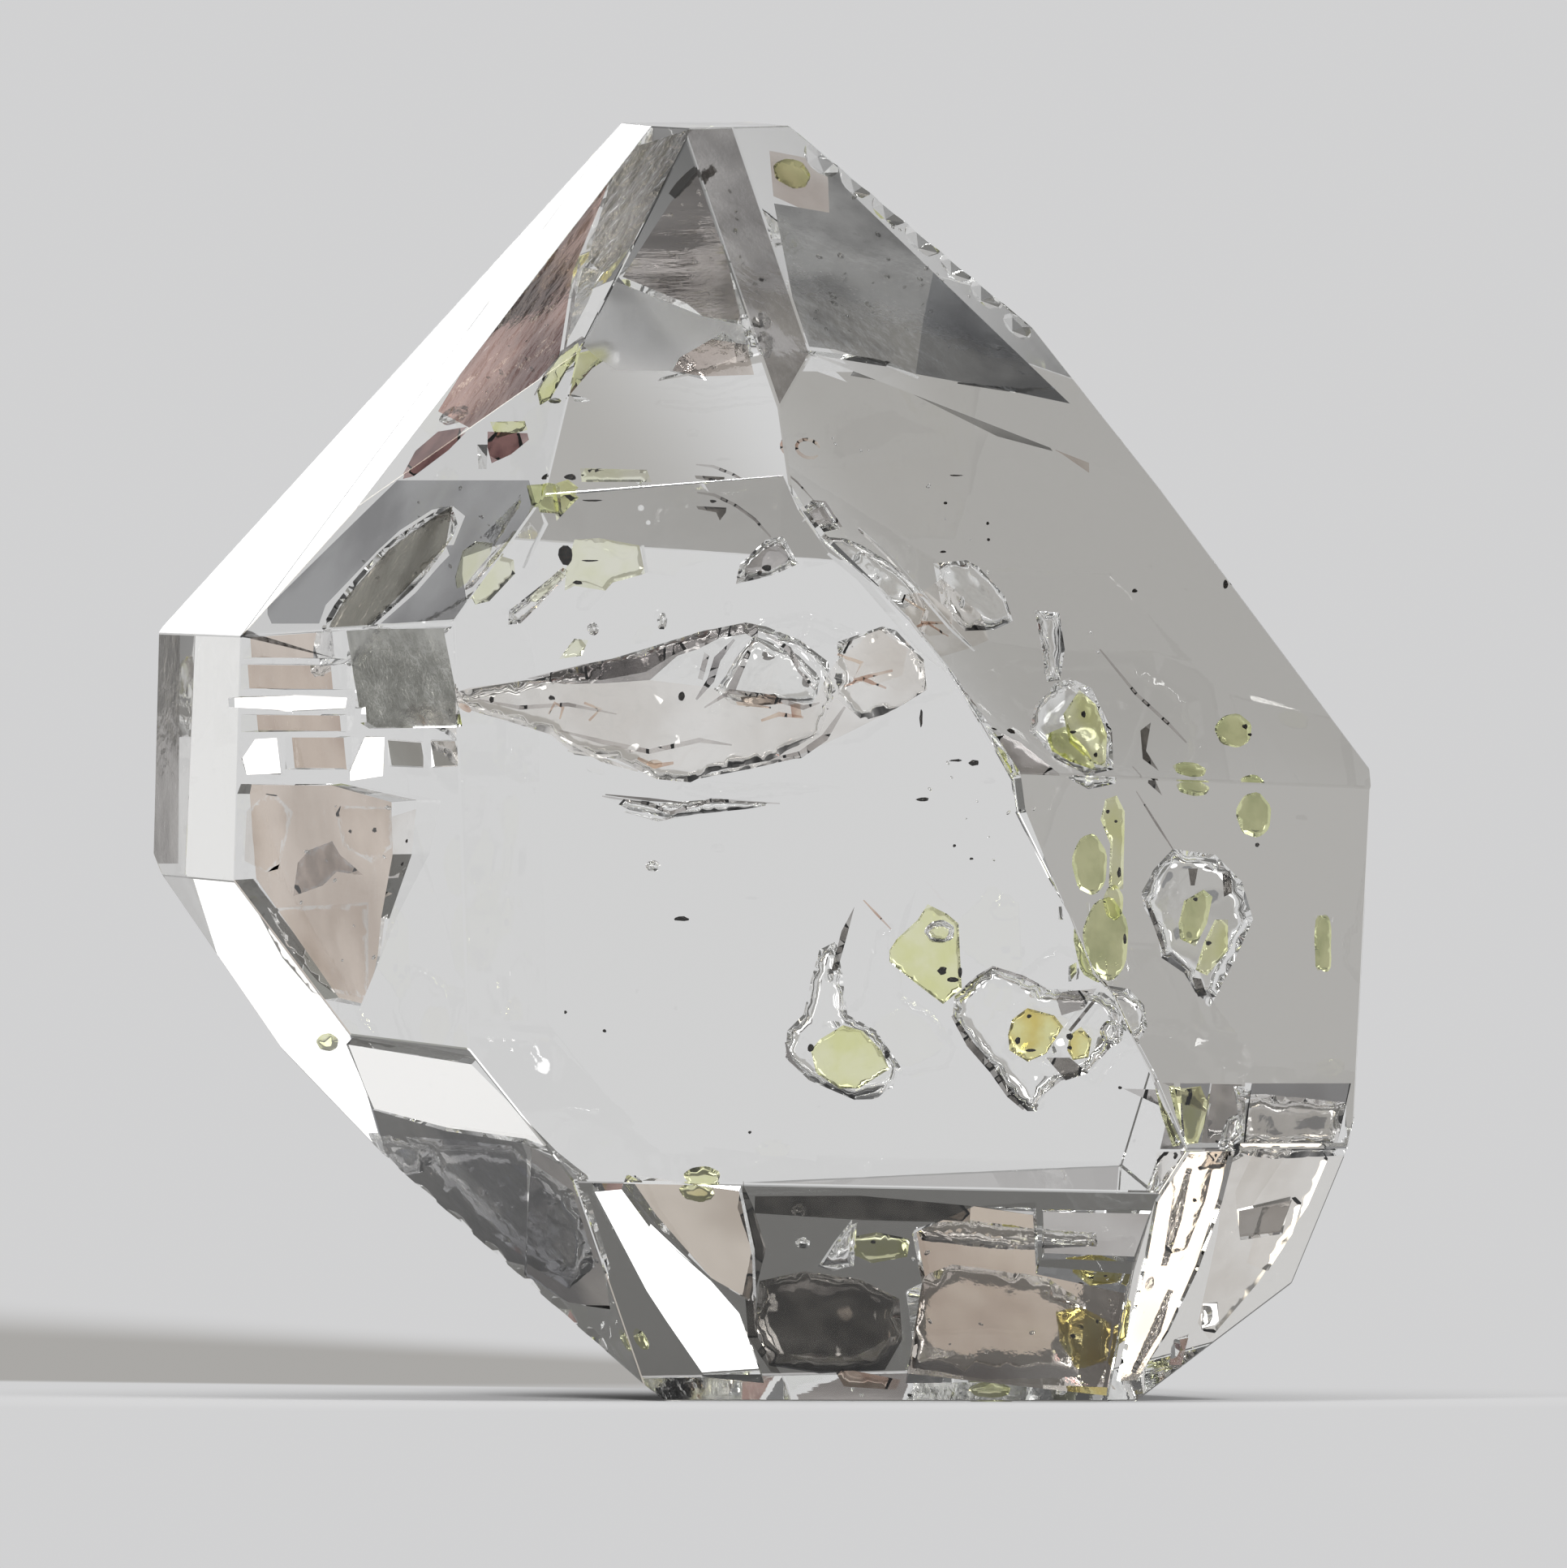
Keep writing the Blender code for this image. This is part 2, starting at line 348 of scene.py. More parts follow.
def pixel_of(point):
    """The pixel at which a point shows."""
    way = point - EYE
    flat = EYE + way * (-EYE.y / way.y)
    return (PIXEL_MIDDLE + flat.x / PIXEL, PIXEL_GROUND - flat.z / PIXEL)


def within(spot, outline):
    """Whether a pixel lies inside an outline of pixels."""
    x, y = spot
    inside = False
    for (ax, ay), (bx, by) in zip(outline, outline[1:] + outline[:1]):
        if (ay > y) != (by > y) and x < ax + (y - ay) * (bx - ax) / (by - ay):
            inside = not inside
    return inside


def cut_along(bm, zone, outline):
    """Cut a zone of faces along each side of an outline of pixels."""
    for a, b in zip(outline, outline[1:] + outline[:1]):
        across = (on_picture(*a) - EYE).cross(on_picture(*b) - EYE)
        edges = {edge for face in zone for edge in face.edges}
        verts = {vert for face in zone for vert in face.verts}
        result = bmesh.ops.bisect_plane(
            bm, geom=list(zone) + list(edges) + list(verts), dist=1e-8,
            plane_co=EYE, plane_no=across,
        )
        zone = [item for item in result["geom"] if isinstance(item, bmesh.types.BMFace)]
    return zone


def carve_facets(bm, seed, cells):
    """Lay small tilted facets into the flat face that shows at the seed pixel."""
    tree = BVHTree.FromBMesh(bm)
    bm.faces.ensure_lookup_table()
    ray = (on_picture(*seed) - EYE).normalized()
    zone = [bm.faces[tree.ray_cast(EYE, ray)[2]]]
    flat = zone[0].normal.copy()
    for look, finish, outline in cells:
        whole = cut_along(bm, zone, outline)
        region = [face for face in whole if within(pixel_of(face.calc_center_median()), outline)]
        zone = [face for face in whole if face not in region]
        if not region:
            continue
        if len(region) > 1:
            joined = bmesh.ops.dissolve_faces(bm, faces=region)["region"]
            region = joined or [face for face in region if face.is_valid]
        for face in region:
            facet = face
            if look:
                bmesh.ops.inset_region(bm, faces=[facet], thickness=FACET_RIM, use_even_offset=True)
                centre = facet.calc_center_median()
                aim = facet_normal(*pixel_of(centre), towards(*LOOKS[look]))
                for vert in facet.verts:
                    vert.co -= flat * ((vert.co - centre).dot(aim) / flat.dot(aim))
            facet.material_index = FINISH_NAMES.index(finish)


def turned(px, py, x, y, turn):
    """The pixel at x, y from a middle, once both are turned by an angle in degrees."""
    lean = math.radians(turn)
    return (px + x * math.cos(lean) - y * math.sin(lean), py + x * math.sin(lean) + y * math.cos(lean))


def arc(px, py, wide, high, turn, start, end, steps=12):
    """Part of an ellipse's edge, as a line of pixels. Angles are in degrees."""
    line = []
    for n in range(steps + 1):
        a = math.radians(start + (end - start) * n / steps)
        x, y = math.cos(a) * wide / 2, math.sin(a) * high / 2
        line.append(turned(px, py, x, y, turn))
    return line


SKIN = 0.01 * MM
FACET_RIM = 0.014 * MM
LOOKS = {
    # what a facet shows: the azimuth and elevation it looks at
    "side_brown": (45.0, 6.0), "side_dark": (37.0, 9.5), "side_white": (29.5, 5.0),
    "low_light": (38.0, 33.0), "low_brown": (31.0, 26.0),
    "front_white": (-5.0, 21.5), "front_brown": (10.0, 21.5), "front_grey": (2.5, 29.0),
    "right_beige": (-36.0, 21.0), "right_dark": (-29.0, 28.5), "right_white": (-22.0, 20.0),
    "band_dark": (-30.0, 5.0), "glow": (11.0, 5.5), "gloom": (-9.0, 9.0), "right_glow": (-41.0, 3.6),
}
# Facet cells: what each looks at, its finish and its outline. Cells with grey or near-black finishes are
# painted shade.
SIDE_FACETS = [
    ("side_brown", "etched", [(297, 768), (428, 764), (428, 812), (297, 812)]),
    ("side_brown", "brown", [(297, 818), (432, 818), (432, 850), (297, 850)]),
    ("side_white", "clear", [(300, 858), (362, 856), (420, 859), (418, 874), (360, 877), (298, 872)]),
    ("side_brown", "brown", [(298, 880), (434, 880), (434, 902), (298, 902)]),
    ("side_white", "clear", [(318, 908), (340, 905), (346, 920), (350, 954), (306, 956), (304, 930)]),
    ("side_brown", "brown", [(352, 907), (434, 907), (434, 948), (352, 948)]),
    ("side_white", "clear", [(452, 907), (474, 909), (472, 957), (438, 963), (440, 940)]),
    ("side_dark", "shade_olive", [(438, 774), (563, 772), (563, 896), (450, 898), (438, 866)]),
    ("side_dark", "etched", [(480, 912), (522, 912), (522, 944), (480, 944)]),
    ("side_dark", "etched", [(532, 912), (564, 912), (564, 944), (532, 944)]),
    ("side_brown", "etched", [(302, 966), (424, 966), (514, 986), (508, 1050), (484, 1120), (466, 1186),
        (446, 1240), (352, 1222), (302, 1130), (268, 1062), (276, 1000)]),
]
LOW_LEFT_FACETS = [
    ("low_light", "clear", [(380, 1280), (440, 1280), (585, 1306), (640, 1370), (712, 1438), (643, 1408),
        (548, 1393), (459, 1367), (414, 1338)]),
    (None, "murky", [(414, 1338), (459, 1367), (548, 1393), (643, 1408), (650, 1424), (650, 1560),
        (600, 1540), (508, 1452), (456, 1414), (420, 1360)]),
    ("low_brown", "murky", [(654, 1416), (714, 1444), (740, 1540), (752, 1613), (700, 1600), (654, 1562)]),
]
LOW_FRONT_FACETS = [
    ("front_white", "clear", [(722, 1443), (760, 1446), (802, 1508), (876, 1578), (911, 1618), (942, 1704),
        (866, 1696), (797, 1588)]),
    ("front_brown", "etched", [(764, 1448), (912, 1456), (930, 1540), (932, 1600), (876, 1574),
        (806, 1506)]),
    ("front_brown", "brown", [(1200, 1486), (1276, 1488), (1280, 1560), (1396, 1570), (1384, 1700),
        (1116, 1704), (1136, 1580), (1124, 1520)]),
    ("front_grey", "etched", [(1284, 1490), (1416, 1492), (1400, 1556), (1284, 1550)]),
]
LOW_RIGHT_FACETS = [
    ("right_beige", "brown", [(1468, 1416), (1522, 1416), (1506, 1480), (1478, 1560), (1440, 1640),
        (1400, 1700), (1376, 1700), (1408, 1560), (1424, 1476)]),
    ("right_dark", "etched", [(1524, 1490), (1590, 1474), (1580, 1520), (1528, 1528)]),
    ("right_white", "clear", [(1482, 1606), (1500, 1604), (1502, 1630), (1480, 1638)]),
    ("right_white", "clear", [(1446, 1642), (1464, 1642), (1460, 1676), (1440, 1682)]),
]
BAND_FACETS = [
    ("band_dark", "etched", [(1534, 1334), (1660, 1334), (1656, 1408), (1534, 1408)]),
    ("band_dark", "etched", [(1446, 1334), (1488, 1334), (1488, 1408), (1462, 1408)]),
]
TIP_FACETS = [
    (None, "maroon", [(540, 507), (571, 456), (606, 395), (652, 344), (693, 293), (734, 242), (752, 200),
        (764, 186), (744, 242), (719, 303), (708, 324), (698, 385), (688, 441), (662, 472), (632, 502),
        (601, 520), (576, 528)]),
    (None, "slate", [(719, 329), (739, 334), (725, 372), (708, 400), (700, 410)]),
    (None, "shade_frosted", [(764, 186), (856, 160), (826, 232), (785, 296), (744, 340), (724, 320), (746, 246)]),
]
FAR_LEFT_FACETS = [
    (None, "shade_frosted", [(190, 786), (222, 784), (220, 1064), (184, 1064)]),
]
LEFT_TOP_FACETS = [
    (None, "dusky", [(490, 592), (652, 592), (666, 640), (618, 674), (595, 675), (571, 684), (569, 724),
        (578, 748), (566, 768), *arc(478, 714, 240, 68, -46, 112, -141, 18), (330, 768), (330, 748)]),
    (None, "bronze", arc(480, 712, 214, 46, -46, 0, 342, 18)),
]
FRONT_TOP_FACETS = [
    (None, "striped", [(781, 320), (826, 250), (864, 205), (884, 270), (908, 372), (914, 396), (866, 390),
        (846, 374), (820, 366), (790, 352), (772, 344)]),
    (None, "brown", [(833, 458), (846, 436), (877, 418), (921, 425), (930, 462), (867, 464)]),
    (None, "blurred", [(756, 350), (772, 348), (790, 356), (820, 370), (846, 378), (866, 394), (912, 400),
        (916, 420), (877, 414), (842, 434), (828, 458), (760, 456), (724, 430), (716, 404), (735, 372)]),
]
RIGHT_TIP_FACETS = [
    (None, "brown", [(948, 186), (1000, 196), (1018, 222), (1020, 262), (984, 256), (953, 242)]),
    (None, "slate", [(953, 246), (984, 260), (1024, 266), (1022, 206), (1060, 225), (1125, 281),
        (1152, 340), (1136, 400), (1128, 461), (1052, 438), (990, 426), (968, 330)]),
    (None, "ink", [(1125, 281), (1200, 345), (1300, 452), (1330, 500), (1254, 484), (1128, 461),
        (1136, 400), (1152, 340)]),
]
RIGHT_TOP_FACETS = [
    (None, "slate", [(1127, 487), (1193, 487), (1254, 497), (1297, 556), (1229, 538)]),
    (None, "brown", [(1254, 480), (1340, 487), (1342, 583), (1299, 553), (1258, 498)]),
    (None, "slate", [(1050, 453), (1084, 456), (1084, 468), (1054, 466)]),
]


def bevel_edges(bm):
    """Round off the long edges a little, where the real ones catch the light."""
    sharp = [
        edge for edge in bm.edges
        if edge.calc_face_angle(0.0) > EDGE_ANGLE and edge.calc_length() > EDGE_LENGTH
    ]
    bmesh.ops.bevel(
        bm, geom=sharp, offset=EDGE_WEAR, offset_type="OFFSET", segments=2, profile=0.5,
        affect="EDGES", clamp_overlap=False,
    )


facetted = FORM.copy()
bevel_edges(facetted)
for seed, cells in (
    ((545, 1100), SIDE_FACETS), ((600, 1460), LOW_LEFT_FACETS), ((1000, 1600), LOW_FRONT_FACETS),
    ((1560, 1450), LOW_RIGHT_FACETS), ((1500, 1050), BAND_FACETS), ((650, 400), TIP_FACETS),
    ((500, 600), LEFT_TOP_FACETS), ((800, 500), FRONT_TOP_FACETS), ((1100, 350), RIGHT_TIP_FACETS),
    ((1200, 600), RIGHT_TOP_FACETS), ((255, 900), FAR_LEFT_FACETS),
):
    carve_facets(facetted, seed, cells)
tree = BVHTree.FromBMesh(facetted)
facetted.faces.ensure_lookup_table()
# Two whole faces: one darkened with painted shade, one lightly mottled pale.
for finish, (px, py) in (("shade_frosted", (905, 280)), ("pale", (1560, 1450))):
    hit = tree.ray_cast(EYE, (on_picture(px, py) - EYE).normalized())
    facetted.faces[hit[2]].material_index = FINISH_NAMES.index(finish)


# What is sealed inside

def oval(px, py, wide, high, turn=0.0, square=2.0, uneven=0.06, seed=1, points=26):
    """An outline of pixels: an ellipse, squarer as the power grows, with an uneven edge."""
    draw = random.Random(seed)
    phases = [(n, draw.uniform(0, math.tau), draw.uniform(0.3, 1.0)) for n in (2, 3, 5, 7)]
    outline = []
    for number in range(points):
        a = math.tau * number / points
        c, z = math.cos(a), math.sin(a)
        reach = (abs(c) ** square + abs(z) ** square) ** (-1.0 / square)
        reach *= 1.0 + uneven * sum(w * math.sin(n * a + phase) for n, phase, w in phases) / 2
        x, y = c * reach * wide / 2, z * reach * high / 2
        outline.append(turned(px, py, x, y, turn))
    return outline


def filled(outline, grain, seed):
    """Points and triangles that fill an outline of pixels, and how far each lies from the edge."""
    draw = random.Random(seed)
    edge = []
    for a, b in zip(outline, outline[1:] + outline[:1]):
        steps = max(1, round(math.dist(a, b) / grain))
        edge += [
            (a[0] + (b[0] - a[0]) * n / steps, a[1] + (b[1] - a[1]) * n / steps) for n in range(steps)
        ]
    rim = len(edge)
    xs, ys = [x for x, _ in edge], [y for _, y in edge]
    inner = []
    while len(inner) < 3:
        inner = []
        y = min(ys) + grain / 2
        while y < max(ys):
            x = min(xs) + grain / 2
            while x < max(xs):
                spot = (x + draw.uniform(-0.3, 0.3) * grain, y + draw.uniform(-0.3, 0.3) * grain)
                if within(spot, outline) and reach_of(spot, edge) > 0.35 * grain:
                    inner.append(spot)
                x += grain
            y += grain
        grain *= 0.7
    spots = [Vector(spot) for spot in edge + inner]
    ring = [(n, (n + 1) % rim) for n in range(rim)]
    verts, _, faces, origin, _, _ = geometry.delaunay_2d_cdt(spots, ring, [list(range(rim))], 1, 1e-4)
    reaches = [0.0 if min(source, default=rim) < rim else reach_of(v, edge)
               for v, source in zip(verts, origin)]
    return verts, faces, reaches


def reach_of(spot, edge):
    """How far a pixel lies from a closed line of pixels."""
    best = 1e9
    x, y = spot[0], spot[1]
    for (ax, ay), (bx, by) in zip(edge, edge[1:] + edge[:1]):
        dx, dy = bx - ax, by - ay
        t = max(0.0, min(1.0, ((x - ax) * dx + (y - ay) * dy) / (dx * dx + dy * dy + 1e-12)))
        best = min(best, math.hypot(x - ax - t * dx, y - ay - t * dy))
    return best


def sheet(bm, outline, depth, thick, rim=None, grain=8.0, rough=0.0, waves=0.0, hollow=False,
          seed=1, index=0):
    """A closed body that fills an outline: thin at its rim, swelling inwards.

    Depth is in millimetres. Thickness, rim, grain and waves are in pixels.
    """
    px = sum(x for x, _ in outline) / len(outline)
    py = sum(y for _, y in outline) / len(outline)
    pane = window(px, py)
    verts, faces, reaches = filled(outline, grain, seed)
    rim = rim or max(reaches)
    fronts, backs = [], []
    for (x, y), reach in zip(verts, reaches):
        near = min(1.0, reach / rim)
        swell = thick * math.sqrt(max(0.0, 1.0 - (1.0 - near) ** 2))
        swell *= 1.0 + rough * noise.noise(Vector((x, y, 31.0 * seed)) / (3.0 * grain))
        middle = depth * MM + PIXEL * (
            waves * near * noise.noise(Vector((x, y, 17.0 * seed)) / (4.0 * grain))
        )
        front = bm.verts.new(seen(x, y, middle - swell * PIXEL / 2, pane))
        back = front if reach == 0.0 else bm.verts.new(seen(x, y, middle + swell * PIXEL / 2, pane))
        fronts.append(front)
        backs.append(back)
    for corners in faces:
        for side, behind in ((fronts, False), (backs, True)):
            ring = [side[n] for n in corners]
            if side is backs and len({fronts[n] for n in corners} - set(ring)) == 0:
                continue
            face = bm.faces.new(ring)
            face.normal_update()
            towards_eye = face.normal.dot(EYE - face.calc_center_median()) > 0.0
            if towards_eye == (behind != hollow):
                face.normal_flip()
            face.smooth = True
            face.material_index = index


def prism(bm, outline, depth, look):
    """A flat-walled hollow whose far wall is tilted so that the eye looks at a card."""
    px = sum(x for x, _ in outline) / len(outline)
    py = sum(y for _, y in outline) / len(outline)
    pane = window(px, py)
    spot, inward = sight(px, py, pane)
    _, back, _, _ = FORM_TREE.ray_cast(spot + inward * SKIN, inward)
    onward = -bent(-towards(*LOOKS[look]), back, 1.0 / QUARTZ_IOR)
    wall = (onward * QUARTZ_IOR - inward).normalized()
    near = [seen(x, y, depth * MM, pane) for x, y in outline]
    far = []
    for (x, y), point in zip(outline, near):
        start, way = sight(x, y, pane)
        far.append((point, way, (near[0] - point).dot(wall) / way.dot(wall)))
    gap = PRISM_GAP - min(step for _, _, step in far)
    fronts = [bm.verts.new(point) for point in near]
    backs = [bm.verts.new(point + way * (step + gap)) for point, way, step in far]
    faces = [bm.faces.new(fronts), bm.faces.new(backs[::-1])]
    for n in range(len(near)):
        m = (n + 1) % len(near)
        faces.append(bm.faces.new((fronts[m], fronts[n], backs[n], backs[m])))
    bmesh.ops.recalc_face_normals(bm, faces=faces)
    for face in faces:
        face.normal_flip()


PRISM_GAP = 1.0 * PIXEL


def scattered(outline, count, seed):
    """Pixels spread at random inside an outline."""
    draw = random.Random(seed)
    xs, ys = [x for x, _ in outline], [y for _, y in outline]
    spots = []
    while len(spots) < count:
        spot = (draw.uniform(min(xs), max(xs)), draw.uniform(min(ys), max(ys)))
        if within(spot, outline):
            spots.append((*spot, draw.uniform(0.6, 1.6), draw.uniform(-60, 60)))
    return spots


def ribbon(line, width, thin=0.5):
    """The outline of a line of pixels drawn with a width, narrower at its ends."""
    left, right = [], []
    for n, (x, y) in enumerate(line):
        ax, ay = line[max(0, n - 1)]
        bx, by = line[min(len(line) - 1, n + 1)]
        long = math.hypot(bx - ax, by - ay)
        half = width / 2 * (thin if n in (0, len(line) - 1) else 1.0)
        nx, ny = (ay - by) / long * half, (bx - ax) / long * half
        left.append((x + nx, y + ny))
        right.append((x - nx, y - ny))
    return left + right[::-1]


hollows = facetted
oils, films, specks = bmesh.new(), bmesh.new(), bmesh.new()
# The places of the oils and films in their tables.
LIGHT, PLAIN, DEEP, OLIVE = range(4)
SHADY, HAZY, RUSTY, DARK, RED, DUSK = range(6)

OILS = [
    # kind, depth in mm, thickness in pixels, outline
    (LIGHT, 1.0, 14, [(574, 686), (595, 678), (633, 690), (635, 707), (603, 741), (586, 745), (574, 724)]),
    (LIGHT, 1.4, 12, [(708, 665), (738, 663), (788, 672), (795, 707), (755, 718), (746, 728), (708, 722),
        (696, 728), (698, 700)]),
    (LIGHT, 1.5, 10, [(648, 740), (694, 698), (702, 706), (662, 742)]),
    (LIGHT, 0.2, 5, [(715, 577), (797, 579), (803, 594), (717, 594)]),
    (OLIVE, 0.3, 10, [(649, 598), (679, 596), (679, 625), (655, 623)]),
    (PLAIN, 0.45, 10, [(681, 597), (700, 591), (713, 601), (684, 630)]),
    (LIGHT, 1.6, 8, [(689, 812), (708, 787), (725, 789), (717, 808)]),
    (PLAIN, 1.8, 22, [(1096, 1171), (1105, 1157), (1131, 1133), (1143, 1114), (1167, 1126), (1181, 1138),
        (1185, 1218), (1162, 1237), (1128, 1211), (1096, 1185)]),
    (PLAIN, 2.0, 22, [(999, 1294), (1011, 1280), (1039, 1263), (1063, 1270), (1086, 1294), (1096, 1317),
        (1058, 1341), (1034, 1341), (1006, 1322)]),
    (DEEP, 0.9, 18, [(1242, 1275), (1247, 1256), (1266, 1242), (1299, 1251), (1310, 1265), (1289, 1298),
        (1266, 1308), (1244, 1294)]),
    (DEEP, 0.9, 14, [(1318, 1275), (1332, 1265), (1345, 1280), (1341, 1303), (1322, 1306), (1315, 1294)]),
    (OLIVE, 0.32, 12, oval(1343, 1065, 42, 76)),
    (PLAIN, 0.4, 10, [(1362, 985), (1376, 980), (1386, 1000), (1384, 1095), (1366, 1098), (1368, 1040),
        (1356, 1010)]),
    (PLAIN, 0.3, 10, oval(1372, 1112, 24, 44)),
    (OLIVE, 0.3, 14, oval(1363, 1157, 54, 104)),
    (OLIVE, 1.5, 14, [(1452, 1138), (1459, 1110), (1483, 1096), (1494, 1105), (1487, 1138), (1473, 1166),
        (1454, 1157)]),
    (PLAIN, 1.5, 14, [(1497, 1133), (1513, 1133), (1513, 1171), (1487, 1202), (1473, 1195), (1483, 1162)]),
    (OLIVE, 0.7, 8, oval(1630, 1162, 20, 70, square=5.0)),
    (OLIVE, 1.0, 14, oval(1545, 1004, 42, 56)),
    (OLIVE, 1.0, 14, oval(1520, 900, 44, 42)),
    (OLIVE, 1.0, 10, oval(1466, 948, 40, 18, 8)),
    (PLAIN, 0.45, 12, [(1310, 880), (1330, 850), (1350, 868), (1364, 905), (1362, 945), (1345, 940),
        (1318, 915)]),
    (OLIVE, 0.5, 12, [(1288, 905), (1312, 895), (1340, 925), (1352, 950), (1318, 938), (1296, 925)]),
    (PLAIN, 0.3, 12, [(1440, 1338), (1476, 1334), (1490, 1360), (1478, 1408), (1462, 1410), (1448, 1372)]),
    (PLAIN, 1.0, 14, [(676, 470), (710, 436), (744, 428), (752, 440), (730, 454), (703, 486), (684, 490)]),
    (PLAIN, 0.9, 10, [(604, 520), (647, 519), (650, 530), (612, 540)]),
    (PLAIN, 0.9, 14, [(1047, 1524), (1080, 1518), (1121, 1526), (1118, 1548), (1075, 1556), (1050, 1545)]),
    (DEEP, 0.9, 16, [(1312, 1612), (1345, 1603), (1382, 1622), (1376, 1668), (1340, 1680), (1316, 1650)]),
    (PLAIN, 0.6, 10, oval(1220, 1712, 50, 20)),
    (PLAIN, 0.8, 12, oval(866, 1470, 44, 24)),
    (OLIVE, 0.7, 10, oval(976, 214, 46, 34, 20)),
    (PLAIN, 0.6, 8, oval(790, 1650, 14, 30, -30)),
    (PLAIN, 0.5, 8, oval(404, 1284, 26, 22)),
]
for number, (kind, depth, thick, outline) in enumerate(OILS):
    sheet(oils, outline, depth, thick, grain=7.0, seed=number + 1, index=kind)
